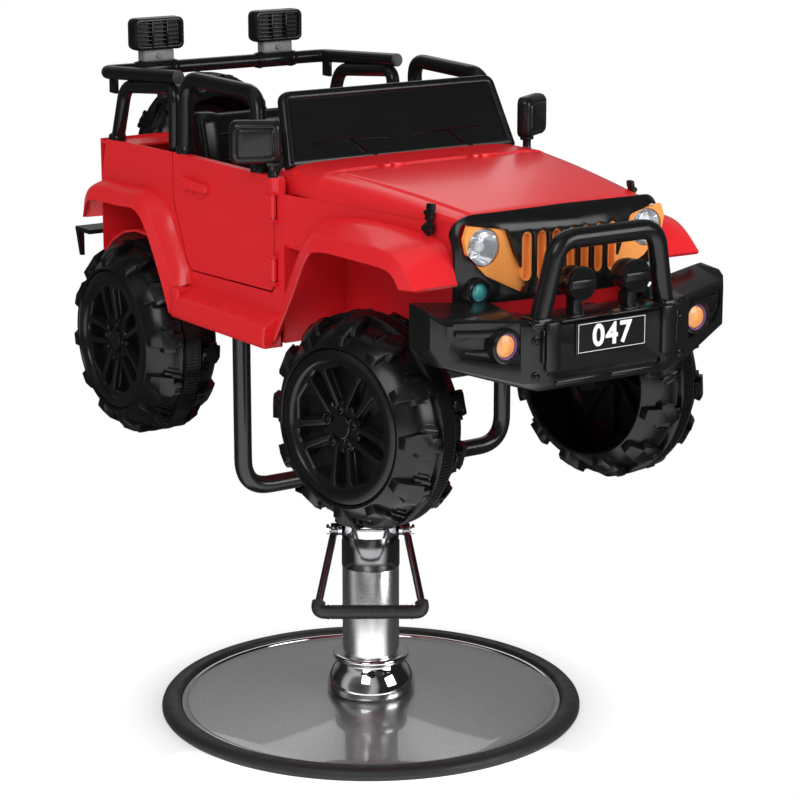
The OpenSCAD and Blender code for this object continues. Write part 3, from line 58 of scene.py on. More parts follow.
def fillInputs(tree, node, inputs):
    # an input is a value, or the socket that it is linked to
    for key, value in inputs.items():
        if isinstance(value, bpy.types.NodeSocket):
            tree.links.new(value, node.inputs[key])
        else:
            node.inputs[key].default_value = value


def addNode(tree, kind, inputs=None, output=0, **settings):
    node = tree.nodes.new(kind)
    for name, value in settings.items():
        setattr(node, name, value)
    fillInputs(tree, node, inputs or {})
    return node.outputs[output]


def mathOf(tree, operation, *values):
    return addNode(tree, "ShaderNodeMath", dict(enumerate(values)), operation=operation)


def dotOf(tree, place, way):
    return addNode(tree, "ShaderNodeVectorMath", {0: place, 1: way}, "Value", operation="DOT_PRODUCT")


def lengthOf(tree, place):
    return addNode(tree, "ShaderNodeVectorMath", {0: place}, "Value", operation="LENGTH")


def toRange(tree, value, low, high, fromLow=0.3, fromHigh=0.7, kind="LINEAR"):
    return addNode(tree, "ShaderNodeMapRange", {
        "From Min": fromLow, "From Max": fromHigh, "To Min": low, "To Max": high, "Value": value,
    }, "Result", interpolation_type=kind)


# Camera, floor and light

camera = {
    "place": (-2.416, -3.64, 1.644),
    "yaw": 34.25,
    "pitch": -14.0,
    "lens": 117.0,
    "sensor": 36.0,
    "far": 100.0,
}
light = {
    "world": 0.72,
    "shiny": 0.52,
    "brightWay": (-0.85, -0.35, 0.25),
    "bands": ((0.22, 0.03), (0.56, 0.06), (0.7, 0.8), (0.82, 1.0), (0.9, 0.3)),
    "bandEnds": (0.03, 0.12),
    "backWay": (0.55, 0.8, 0.24),
    "backFrom": (0.45, 0.9),
    "backLevel": 0.42,
}
lampRows = (
    ("keyLamp", (-2.6, -2.2, 2.9), (0, 0, 0.8), 1.6, 36.0),
    ("fillLamp", (1.6, -3.4, 1.8), (0, -0.2, 0.8), 1.8, 60.0),
    ("backLamp", (1.4, 2.6, 2.6), (0, 0, 0.9), 1.8, 8.0),
    ("topLamp", (0, 0, 3.4), (0, 0, 0.8), 2.0, 5.0),
)
floor = {
    "half": 9.0,
    "sink": 0.0005,
    "grey": (0.92, 0.92, 0.92, 1.0),
    "rough": 0.7,
    "fade": (0.31, 0.44),
    "frontWay": (-0.55, -0.83, 0.0),
    "strip": (0.05, 2.0, 0.3, 0.85),
}


def addCamera():
    data = bpy.data.cameras.new("camera")
    data.lens = camera["lens"]
    data.sensor_width = camera["sensor"]
    data.clip_end = camera["far"]
    item = bpy.data.objects.new("camera", data)
    scene.collection.objects.link(item)
    item.location = camera["place"]
    item.rotation_euler = (math.radians(90.0 + camera["pitch"]), 0.0, math.radians(-camera["yaw"]))
    scene.camera = item


def addLamp(name, place, aim, size, power):
    data = bpy.data.lights.new(name, "AREA")
    data.energy = power
    data.size = size
    item = bpy.data.objects.new(name, data)
    scene.collection.objects.link(item)
    item.location = place
    way = Vector(aim) - Vector(place)
    item.rotation_euler = way.to_track_quat("-Z", "Y").to_euler()


def addWorld():
    # plain white to the camera, soft grey to matt faces, light and dark sides to shiny ones
    world = bpy.data.worlds.new("studio")
    world.use_nodes = True
    scene.world = world
    tree = world.node_tree
    soft = tree.nodes["Background"]
    fillInputs(tree, soft, {"Color": plainWhite, "Strength": light["world"]})
    spot = addNode(tree, "ShaderNodeTexCoord", output="Generated")
    bands = tree.nodes.new("ShaderNodeValToRGB")
    fillInputs(tree, bands, {"Fac": dotOf(tree, spot, Vector(light["brightWay"]).normalized())})
    marks = bands.color_ramp.elements
    for place, level in light["bands"]:
        marks.new(place).color = (level, level, level, 1.0)
    for mark, level in zip((marks[0], marks[-1]), light["bandEnds"]):
        mark.color = (level, level, level, 1.0)
    behind = dotOf(tree, spot, Vector(light["backWay"]).normalized())
    glow = toRange(tree, behind, 0.0, light["backLevel"], *light["backFrom"], "SMOOTHSTEP")
    power = mathOf(tree, "MULTIPLY", mathOf(tree, "MAXIMUM", bands.outputs["Color"], glow), light["shiny"])
    shiny = addNode(tree, "ShaderNodeBackground", {"Color": plainWhite, "Strength": power})
    white = addNode(tree, "ShaderNodeBackground", {"Color": plainWhite})
    rays = tree.nodes.new("ShaderNodeLightPath").outputs
    glossy = addNode(tree, "ShaderNodeMixShader", {0: rays["Is Glossy Ray"], 1: soft.outputs[0], 2: shiny})
    seen = mathOf(tree, "MAXIMUM", rays["Is Camera Ray"], rays["Is Transmission Ray"])
    mix = addNode(tree, "ShaderNodeMixShader", {0: seen, 1: glossy, 2: white})
    fillInputs(tree, tree.nodes["World Output"], {"Surface": mix})


def addFloor():
    mesh = bpy.data.meshes.new("floor")
    half = floor["half"]
    mesh.from_pydata([(-half, -half, 0), (half, -half, 0), (half, half, 0), (-half, half, 0)], [], [(0, 1, 2, 3)])
    item = bpy.data.objects.new("floor", mesh)
    item.location.z = -floor["sink"]
    scene.collection.objects.link(item)
    finish = bpy.data.materials.new("paleFloor")
    finish.use_nodes = True
    tree = finish.node_tree
    shader = tree.nodes["Principled BSDF"]
    spot = addNode(tree, "ShaderNodeTexCoord", output="Object")
    grain = addNode(tree, "ShaderNodeTexNoise", {"Scale": 3.0, "Vector": spot}, "Fac")
    bump = addNode(tree, "ShaderNodeBump", {"Strength": 0.02, "Height": grain}, "Normal")
    fillInputs(tree, shader, {"Base Color": floor["grey"], "Roughness": floor["rough"], "Normal": bump})
    # away from the base the floor fades to plain white; shiny faces see it dark but for a strip in front
    fade = toRange(tree, lengthOf(tree, spot), 0.0, 1.0, *floor["fade"])
    front = addNode(tree, "ShaderNodeVectorMath", {0: spot}, operation="NORMALIZE")
    strip = toRange(tree, dotOf(tree, front, floor["frontWay"]), *floor["strip"], "SMOOTHSTEP")
    rays = tree.nodes.new("ShaderNodeLightPath").outputs
    level = mathOf(tree, "MAXIMUM", rays["Is Camera Ray"], strip)
    seen = mathOf(tree, "MAXIMUM", rays["Is Camera Ray"], rays["Is Glossy Ray"])
    share = mathOf(tree, "MULTIPLY", seen, fade)
    plain = addNode(tree, "ShaderNodeEmission", {"Strength": level})
    mix = addNode(tree, "ShaderNodeMixShader", {0: share, 1: shader.outputs[0], 2: plain})
    fillInputs(tree, tree.nodes["Material Output"], {"Surface": mix})
    mesh.materials.append(finish)


addCamera()
addWorld()
addFloor()
for lampRow in lampRows:
    addLamp(*lampRow)
scene.view_settings.view_transform = "Standard"
print("camera, floor and lamps set")


# Materials. Each reads Object coordinates in metres.

def newMaterial(name):
    material = bpy.data.materials.new(name)
    material.use_nodes = True
    tree = material.node_tree
    return material, tree, addNode(tree, "ShaderNodeTexCoord", output="Object")


def fillShader(tree, inputs):
    fillInputs(tree, tree.nodes["Principled BSDF"], inputs)


def noise(tree, place, scale, detail=3.0, rough=0.5, stretch=None):
    if stretch:
        place = addNode(tree, "ShaderNodeMapping", {"Scale": stretch, "Vector": place}, "Vector")
    return addNode(tree, "ShaderNodeTexNoise", {
        "Scale": scale, "Detail": detail, "Roughness": rough, "Vector": place,
    }, "Fac")


def blendColour(tree, factor, first, second):
    return addNode(tree, "ShaderNodeMix", {6: (*first, 1.0), 7: (*second, 1.0), 0: factor}, 2, data_type="RGBA")


def bumpOf(tree, height, depth, strength):
    return addNode(tree, "ShaderNodeBump", {"Strength": strength, "Distance": depth, "Height": height}, "Normal")


def plasticMaterial(name, colour, shade, rough, coat=0.0, grain=0.00012, grainScale=900.0, specular=0.5, calm=False):
    # calm plastics have an even gloss, the others a fine moulded grain
    material, tree, place = newMaterial(name)
    wide = noise(tree, place, 6.0, 2.0)
    smear = noise(tree, place, 7.0 if calm else 38.0, 1.0 if calm else 4.0, 0.6)
    spread = 0.06 if calm else 0.2
    reach = (0.0, 1.0) if calm else (0.3, 0.7)
    fine, soft = noise(tree, place, grainScale, 2.0), noise(tree, place, 26.0, 1.0)
    height = mathOf(tree, "MULTIPLY_ADD", fine, 0.02 if calm else 0.6, soft)
    fillShader(tree, {
        "Base Color": blendColour(tree, toRange(tree, wide, 0.0, 1.0, 0.1, 0.9), colour, shade),
        "Roughness": toRange(tree, smear, rough * (1.0 - spread), rough * (1.0 + spread), *reach),
        "Normal": bumpOf(tree, height, grain, 0.7),
        "Specular IOR Level": specular,
    })
    if coat:
        fillShader(tree, {"Coat Weight": coat, "Coat Roughness": 0.08})
    return material


def metalMaterial(name, colour, rough, stretch=None, scale=60.0, depth=0.00003):
    material, tree, place = newMaterial(name)
    lines = noise(tree, place, scale, 4.0, 0.6, stretch)
    smear = noise(tree, place, 9.0, 3.0)
    dark = tuple(0.86 * c for c in colour)
    fillShader(tree, {
        "Metallic": 1.0,
        "Base Color": blendColour(tree, toRange(tree, lines, 0.0, 1.0), colour, dark),
        "Roughness": mathOf(tree, "ADD", toRange(tree, lines, 0.0, rough * 0.25),
                            toRange(tree, smear, rough * 0.8, rough * 1.15)),
        "Normal": bumpOf(tree, lines, depth, 0.5),
    })
    return material


def plateMaterial(name):
    # turned metal under a thin clear varnish: rings of fine scratches round the column
    material, tree, place = newMaterial(name)
    apart = tree.nodes.new("ShaderNodeSeparateXYZ")
    fillInputs(tree, apart, {0: place})
    flat = addNode(tree, "ShaderNodeCombineXYZ", {"X": apart.outputs["X"], "Y": apart.outputs["Y"]})
    ringPlace = addNode(tree, "ShaderNodeCombineXYZ", {"X": lengthOf(tree, flat)})
    rings = noise(tree, ringPlace, 1500.0, 2.0)
    mottle = noise(tree, place, 260.0, 3.0, 0.7)
    cloud = noise(tree, place, 4.0, 3.0)
    fillShader(tree, {
        "Metallic": 1.0,
        "Base Color": blendColour(tree, toRange(tree, mottle, 0.0, 1.0), (0.37, 0.37, 0.375), (0.49, 0.49, 0.495)),
        "Roughness": toRange(tree, cloud, 0.3, 0.38),
        "Normal": bumpOf(tree, mathOf(tree, "MULTIPLY_ADD", rings, 0.6, mottle), 0.00006, 0.5),
        "Coat Weight": 0.8,
        "Coat Roughness": 0.03,
        "Coat IOR": 1.75,
    })
    return material


def dottedLens(name, middle, rim):
    # small round lamp: a web of prism dots under a clear cover
    material, tree, place = newMaterial(name)
    cells = addNode(tree, "ShaderNodeTexVoronoi", {"Scale": 420.0, "Randomness": 0.2, "Vector": place}, "Distance")
    near = toRange(tree, cells, 1.0, 0.0, 0.1, 0.75)
    fillShader(tree, {
        "Base Color": blendColour(tree, near, rim, middle),
        "Roughness": 0.18,
        "Coat Weight": 0.8,
        "Normal": bumpOf(tree, near, 0.0006, 0.8),
    })
    return material


def glassMaterial(name, colour):
    material, tree, place = newMaterial(name)
    fillShader(tree, {
        "Base Color": (*colour, 1.0),
        "Transmission Weight": 0.92,
        "IOR": 1.47,
        "Roughness": toRange(tree, noise(tree, place, 60.0), 0.03, 0.06),
        "Normal": bumpOf(tree, noise(tree, place, 120.0, 1.0), 0.0001, 0.3),
    })
    return material


def wrinkledRubber(name):
    material, tree, place = newMaterial(name)
    folds = noise(tree, place, 150.0, 5.0, 0.7)
    fillShader(tree, {
        "Base Color": blendColour(tree, toRange(tree, folds, 0.0, 1.0), (0.012, 0.012, 0.013), (0.03, 0.03, 0.032)),
        "Roughness": toRange(tree, folds, 0.34, 0.5),
        "Normal": bumpOf(tree, folds, 0.0016, 0.8),
    })
    return material


# colour, shade, roughness, coat, depth and scale of the grain, specular, calm
red = plasticMaterial("redGloss", (0.76, 0.019, 0.025), (0.72, 0.015, 0.021), 0.25, 0.12, 0.00001, 420.0, 0.3, True)
orange = plasticMaterial("orangeGloss", (0.98, 0.37, 0.085), (0.96, 0.33, 0.07), 0.25, 0.4, 0.00002, 700.0, 0.4, True)
blackMould = plasticMaterial("blackMoulded", (0.006, 0.006, 0.0065), (0.009, 0.009, 0.0095), 0.2, 0.0, 0.00003,
                             1100.0, 0.3)
blackGloss = plasticMaterial("blackGloss", (0.006, 0.006, 0.007), (0.009, 0.009, 0.01), 0.18, 0.2, 0.00003, 500.0,
                             0.3, True)
blackPaint = plasticMaterial("blackPaint", (0.008, 0.008, 0.009), (0.012, 0.012, 0.013), 0.22, 0.2, 0.00005, 600.0,
                             0.35)
tyreBlack = plasticMaterial("tyreBlack", (0.0045, 0.0045, 0.005), (0.007, 0.007, 0.0075), 0.22, 0.0, 0.00004, 420.0,
                            0.3)
matBlack = plasticMaterial("matBlack", (0.006, 0.006, 0.006), (0.009, 0.009, 0.009), 0.7, 0.0, 0.0001, 500.0, 0.1)
rubber = plasticMaterial("blackRubber", (0.013, 0.013, 0.014), (0.02, 0.02, 0.02), 0.5, 0.0, 0.00015, 800.0)
greyPlastic = plasticMaterial("greyPlastic", (0.2, 0.205, 0.21), (0.16, 0.165, 0.17), 0.4, 0.0, 0.0001, 800.0)
chrome = metalMaterial("chrome", (0.78, 0.78, 0.8), 0.05, None, 30.0, 0.00001)
satin = metalMaterial("satinSteel", (0.92, 0.92, 0.93), 0.24, (1.0, 1.0, 40.0), 60.0, 0.00002)
darkSteel = metalMaterial("darkSteel", (0.24, 0.24, 0.25), 0.16, None, 30.0, 0.00001)
bronze = metalMaterial("bronze", (0.62, 0.4, 0.16), 0.3)
plateMetal = plateMaterial("turnedPlate")
clearLens = glassMaterial("clearLens", (0.95, 0.97, 1.0))
tealLens = dottedLens("tealLens", (0.1, 0.6, 0.52), (0.02, 0.22, 0.25))
yellowLens = dottedLens("yellowLens", (0.95, 0.52, 0.04), (0.75, 0.22, 0.12))
whitePrint = plasticMaterial("whitePrint", (0.85, 0.85, 0.86), (0.8, 0.8, 0.81), 0.45, 0.0, 0.00004)
mirrorFace = metalMaterial("mirrorFace", (0.85, 0.86, 0.88), 0.04)
purpleRim = plasticMaterial("purpleRim", (0.12, 0.05, 0.22), (0.2, 0.08, 0.3), 0.2, 0.3, 0.00004)
tealRim = plasticMaterial("tealRim", (0.02, 0.1, 0.16), (0.03, 0.16, 0.2), 0.2, 0.3, 0.00004)
gripRubber = wrinkledRubber("gripRubber")
print("materials made")


# Mesh helpers

def linkMesh(name, mesh):
    item = bpy.data.objects.new(name, mesh)
    scene.collection.objects.link(item)
    return item


def smoothMesh(mesh, angle):
    mesh.shade_smooth()
    mesh.set_sharp_from_angle(angle=math.radians(angle))


def bake(item):
    # modifiers become plain mesh, and the object keeps its place at the origin
    bpy.context.view_layer.update()
    graph = bpy.context.evaluated_depsgraph_get()
    mesh = bpy.data.meshes.new_from_object(item.evaluated_get(graph), depsgraph=graph)
    old = item.data
    item.modifiers.clear()
    item.data = mesh
    mesh.name = item.name
    if old.users == 0:
        bpy.data.meshes.remove(old)
    return item


def finishPiece(item, body, nodes, material):
    item.data.materials.append(material)
    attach(item, body)
    if nodes:
        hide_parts(*nodes)


def addPiece(name, mesh, angle, body, nodes, material):
    # a finished mesh becomes a piece of one body, shaded smooth below the angle
    smoothMesh(mesh, angle)
    finishPiece(linkMesh(name, mesh), body, nodes, material)


def bevelled(item, width, steps=2, angle=30.0):
    edge = item.modifiers.new("rounding", "BEVEL")
    edge.width = width
    edge.segments = steps
    edge.limit_method = "ANGLE"
    edge.angle_limit = math.radians(angle)
    edge.use_clamp_overlap = True
    edge.miter_outer = "MITER_ARC"
    bake(item)
    smoothMesh(item.data, 40.0)


def cadMesh(node):
    mesh = frame["nodes"][node].data.copy()
    mesh.materials.clear()
    build = bmesh.new()
    build.from_mesh(mesh)
    bmesh.ops.remove_doubles(build, verts=build.verts, dist=0.00002)
    bmesh.ops.dissolve_limit(build, angle_limit=math.radians(1.0), verts=build.verts, edges=build.edges)
    build.to_mesh(mesh)
    build.free()
    for name in [a.name for a in mesh.attributes if a.name in ("sharp_face", "custom_normal")]:
        mesh.attributes.remove(mesh.attributes[name])
    return mesh


def roundedCopy(node, material, width):
    # large flat faces keep their own normals beside rounded edges
    item = linkMesh(node + "Shape", cadMesh(node))
    bevelled(item, width)
    even = item.modifiers.new("even", "WEIGHTED_NORMAL")
    even.keep_sharp = True
    even.weight = 70
    bake(item)
    finishPiece(item, bodyOf[node], [node], material)


def place(mesh, matrix):
    mesh.transform(matrix)
    if matrix.determinant() < 0:
        mesh.flip_normals()
    return mesh


def moved(mesh, spot):
    copy = mesh.copy()
    copy.transform(Matrix.Translation(spot))
    return copy


def mirrored(mesh):
    return place(mesh.copy(), flipX)


def flippedAt(mesh, x):
    # turns a mesh inside out across the plane at x
    return place(mesh, Matrix.Translation((2 * x, 0, 0)) @ flipX)


def joined(name, meshes):
    build = bmesh.new()
    for mesh in meshes:
        build.from_mesh(mesh)
    mesh = bpy.data.meshes.new(name)
    build.to_mesh(mesh)
    build.free()
    return mesh


def bothSides(name, meshes):
    return joined(name, list(meshes) + [mirrored(m) for m in meshes])


def facesOut(name, points, faces):
    mesh = bpy.data.meshes.new(name)
    mesh.from_pydata(points, [], faces)
    build = bmesh.new()
    build.from_mesh(mesh)
    bmesh.ops.recalc_face_normals(build, faces=build.faces)
    build.to_mesh(mesh)
    build.free()
    return mesh


def gridMesh(name, rows, closeRows=False, closeColumns=False, caps=False):
    # rows of points, all of one length
    count = len(rows[0])
    faces = []
    for i in range(len(rows) if closeRows else len(rows) - 1):
        j = (i + 1) % len(rows)
        for k in range(count if closeColumns else count - 1):
            n = (k + 1) % count
            faces.append((i * count + k, i * count + n, j * count + n, j * count + k))
    if caps:
        faces.append(tuple(range(count - 1, -1, -1)))
        faces.append(tuple((len(rows) - 1) * count + k for k in range(count)))
    return facesOut(name, [p for row in rows for p in row], faces)


def loft(name, rows):
    # closed rows from one capped end to the other
    return gridMesh(name, rows, closeColumns=True, caps=True)


def spunRows(outline, steps):
    # (x, radius) points turned about the X axis
    rows = []
    for i in range(steps):
        a = fullTurn * i / steps
        rows.append([(x, r * math.sin(a), r * math.cos(a)) for x, r in outline])
    return rows


def spun(name, outline, steps, closed=True):
    return gridMesh(name, spunRows(outline, steps), closeRows=True, closeColumns=closed)


def softBlock(name, low, high, width, steps=2):
    # block between two corners, with rounded edges
    return bevelMesh(blockMesh(name, low, high), width, steps)


def bevelMesh(mesh, width, steps=2, angle=30.0):
    item = linkMesh("bevelHelp", mesh)
    bevelled(item, width, steps, angle)
    result = item.data
    bpy.data.objects.remove(item)
    return result


def curveSpots(a, b, c, steps):
    # round corner from a to c, pulled toward b
    return [a * (1 - t) ** 2 + b * 2 * t * (1 - t) + c * t * t for t in (k / steps for k in range(steps + 1))]


def roundBar(name, path, radius, sides=16, closed=False):
    # a smooth tube round a path of points
    rings = []
    count = len(path)
    path = [Vector(p) for p in path]
    normal = None
    for i, spot in enumerate(path):
        before = path[i - 1] if (i or closed) else spot
        after = path[(i + 1) % count] if (i < count - 1 or closed) else spot
        way = (after - before).normalized()
        if normal is None:
            normal = way.orthogonal().normalized()
        normal = (normal - way * normal.dot(way)).normalized()
        side = way.cross(normal)
        turns = [fullTurn * k / sides for k in range(sides)]
        rings.append([tuple(spot + radius * (math.cos(a) * normal + math.sin(a) * side)) for a in turns])
    return gridMesh(name, rings, closeRows=closed, closeColumns=True, caps=not closed)


def roundPath(points, bend, steps=8):
    # straight runs joined by round corners
    points = [Vector(p) for p in points]
    path = [points[0]]
    for a, b, c in zip(points, points[1:], points[2:]):
        path += curveSpots(b + (a - b).normalized() * bend, b, b + (c - b).normalized() * bend, steps)
    path.append(points[-1])
    return path


def blockMesh(name, low, high):
    (a, b, c), (d, e, f) = low, high
    points = [(a, b, c), (d, b, c), (d, e, c), (a, e, c), (a, b, f), (d, b, f), (d, e, f), (a, e, f)]
    faces = [(0, 3, 2, 1), (4, 5, 6, 7), (0, 1, 5, 4), (1, 2, 6, 5), (2, 3, 7, 6), (3, 0, 4, 7)]
    mesh = bpy.data.meshes.new(name)
    mesh.from_pydata(points, [], faces)
    return mesh


def roundRectangle(half, tall, radius, steps=5):
    spots = []
    x, y = half - radius, tall - radius
    for cx, cy, start in ((x, y, 0), (-x, y, 90), (-x, -y, 180), (x, -y, 270)):
        for k in range(steps + 1):
            a = math.radians(start + 90.0 * k / steps)
            spots.append((cx + radius * math.cos(a), cy + radius * math.sin(a)))
    return spots


def alongTable(keys, values, t):
    for i in range(len(keys) - 1):
        if t <= keys[i + 1]:
            share = (t - keys[i]) / (keys[i + 1] - keys[i])
            return values[i] + (values[i + 1] - values[i]) * share
    return values[-1]


# One Geometry Nodes tree sets copies of a shape round the X axis: lugs, teeth, spokes and nuts

def ringTree():
    tree = bpy.data.node_groups.new("ringOfCopies", "GeometryNodeTree")
    tree.interface.new_socket("Geometry", in_out="OUTPUT", socket_type="NodeSocketGeometry")
    for label, kind in (("Shape", "NodeSocketObject"), ("Count", "NodeSocketInt"), ("Phase", "NodeSocketFloat"),
                        ("Finish", "NodeSocketMaterial")):
        tree.interface.new_socket(label, in_out="INPUT", socket_type=kind)
    given = tree.nodes.new("NodeGroupInput").outputs
    line = addNode(tree, "GeometryNodeMeshLine", {"Offset": (0.0, 0.0, 0.0), "Count": given["Count"]})
    part = mathOf(tree, "DIVIDE", addNode(tree, "GeometryNodeInputIndex"), given["Count"])
    angle = mathOf(tree, "MULTIPLY_ADD", part, fullTurn, given["Phase"])
    about = addNode(tree, "FunctionNodeAxisAngleToRotation", {"Axis": (1.0, 0.0, 0.0), "Angle": angle})
    shape = addNode(tree, "GeometryNodeObjectInfo", {"Object": given["Shape"]}, "Geometry")
    copies = addNode(tree, "GeometryNodeInstanceOnPoints", {"Points": line, "Instance": shape, "Rotation": about})
    real = addNode(tree, "GeometryNodeRealizeInstances", {0: copies})
    paint = addNode(tree, "GeometryNodeSetMaterial", {"Geometry": real, "Material": given["Finish"]})
    fillInputs(tree, tree.nodes.new("NodeGroupOutput"), {0: paint})
    return tree


ringOfCopies = ringTree()


def ringOf(shapeMesh, count, phase, finish):
    shape = linkMesh("oneCopy", shapeMesh)
    holder = linkMesh("ringHolder", bpy.data.meshes.new("ringHolder"))
    copies = holder.modifiers.new("ring", "NODES")
    copies.node_group = ringOfCopies
    values = {"Shape": shape, "Count": count, "Phase": phase, "Finish": finish}
    for socket in ringOfCopies.interface.items_tree:
        if socket.in_out == "INPUT":
            copies[socket.identifier] = values[socket.name]
    bake(holder)
    mesh = holder.data
    bpy.data.objects.remove(holder)
    bpy.data.objects.remove(shape)
    mesh.materials.clear()
    return mesh


# Wheels, about the X axis with the outer face at x = 0

wheel = {
    "radius": 0.172,
    "width": 0.14,
    "lip": 0.123,
    "lugCount": 12,
    "teeth": 176,
    "spokes": 5,
    "spareRadius": 0.146,
    "spareWidth": 0.09,
    "outlineRadius": 0.168,
    "outlineLip": 0.12,
    "hubZ": 0.636,
    "frontY": -0.357,
    "rearY": 0.353,
    "rearX": 0.315,
    "rearRoll": 20.0,
    "kingpinX": 0.165,
    "stub": 0.1585,
    "steer": 12.0,
    "sparePlace": (0, 0.594, 0.922),
}
shoulder = ((0.0, 0.125), (0.01, 0.136), (0.019, 0.144), (0.03, 0.1495), (0.042, 0.153), (0.056, 0.156))
tyreHalf = ((0.004, 0.1195), (0.0005, 0.1215), (0.0, 0.125), (0.0035, 0.129), (0.01, 0.136), (0.019, 0.144),
            (0.03, 0.1495), (0.042, 0.153), (0.052, 0.1545), (0.0545, 0.156), (0.0555, 0.159), (0.0575, 0.1605),
            (0.06, 0.1605), (0.061, 0.1585))


def bentBlock(name, outline, low, high):
    # outline in (x, angle) laid on the tyre between two radius functions
    pointsLow, pointsHigh = [], []
    for x, angle in outline:
        a = math.radians(angle)
        for target, radius in ((pointsLow, low(x)), (pointsHigh, high(x))):
            target.append((x, radius * math.sin(a), radius * math.cos(a)))
    count = len(outline)
    faces = [tuple(range(count)), tuple(range(2 * count - 1, count - 1, -1))]
    for k in range(count):
        n = (k + 1) % count
        faces.append((k, n, n + count, k + count))
    return facesOut(name, pointsLow + pointsHigh, faces)


def tyreMesh(name, radius, width):
    scale = radius / wheel["outlineRadius"]
    k = width / wheel["width"]
    left = [(x * k, r * scale) for x, r in tyreHalf]
    # a bead closes the inner side so that the tyre has a wall
    bead = [(x, tyreHalf[0][1] * scale) for x in (width - 0.004, width * 0.6, width * 0.3)]
    carcass = spun(name, left + [(width - x, r) for x, r in reversed(left)] + bead, 96)
    meshes = [carcass]

    def surface(x):
        t = min(x, width - x) / k
        return alongTable(*zip(*shoulder), t) * scale

    def top(x):
        return min(surface(x) + 0.015 * scale, 0.1672 * scale)

    # toothed band in the middle, with a rail along each edge
    half = 0.013 * k
    middle = width / 2
    count = wheel["teeth"]
    step = 360.0 / count
    outline = [(middle + u * half * 0.86, v * step * 0.28) for u, v in ((-1, -1), (1, -1), (1, 1), (-1, 1))]
    tooth = bentBlock("tooth", outline, lambda x: 0.157 * scale, lambda x: 0.1664 * scale)
    meshes.append(ringOf(tooth, count, 0.0, tyreBlack))
    rail = [(-0.9, 0.155), (-0.9, 0.1649), (-0.05, 0.1649), (-0.03, 0.1667), (0.03, 0.1667), (0.05, 0.1649),
            (0.9, 0.1649), (0.9, 0.155)]
    meshes.append(spun("band", [(middle + x * half, r * scale) for x, r in rail], 96))
    edge = [(1.0, 0.155), (1.0, 0.166), (1.04, 0.1672), (1.2, 0.1672), (1.28, 0.165), (1.32, 0.155)]
    for side in (-1, 1):
        meshes.append(spun("rail", [(middle + side * half * (x - 0.12), r * scale) for x, r in edge], 96))
    # lugs: a hooked block over the shoulder, two steps beside it and a pad on it
    main = [(0.0012, -4.6), (0.017, -5.8), (0.017, -8.8), (0.037, -8.8), (0.037, -6.2), (0.0525, -6.2),
            (0.0525, 2.2), (0.035, 2.2), (0.035, 5.2), (0.015, 5.2), (0.0012, 3.8)]
    low = [(0.0225, 5.6), (0.052, 2.8), (0.052, 5.6), (0.0225, 8.4)]
    rib = [(0.029, 9.6), (0.051, 7.4), (0.051, 8.6), (0.029, 10.8)]
    pad = [(0.04, -4.6), (0.052, -4.6), (0.052, -1.4), (0.04, -1.4)]
    lugParts = (
        (main, 0.004, top, 0.0014, 28.0),
        (low, 0.004, lambda x: surface(x) + 0.0068 * scale, 0.0011, 30.0),
        (rib, 0.004, lambda x: surface(x) + 0.0034 * scale, 0.0008, 30.0),
        (pad, 0.0, lambda x: min(top(x) + 0.0012, 0.169 * scale), 0.0006, 30.0),
    )
    for side in (0, 1):
        parts = []
        for points, sink, high, edgeWidth, angle in lugParts:
            outline = [(width - x * k, -a) if side else (x * k, a) for x, a in points]
            block = bentBlock("lugPart", outline, lambda x: surface(x) - sink, high)
            parts.append(bevelMesh(block, edgeWidth, 2, angle))
        meshes.append(ringOf(joined("lug", parts), wheel["lugCount"], side * math.pi / wheel["lugCount"], tyreBlack))
    mesh = joined(name, meshes)
    smoothMesh(mesh, 34.0)
    return mesh


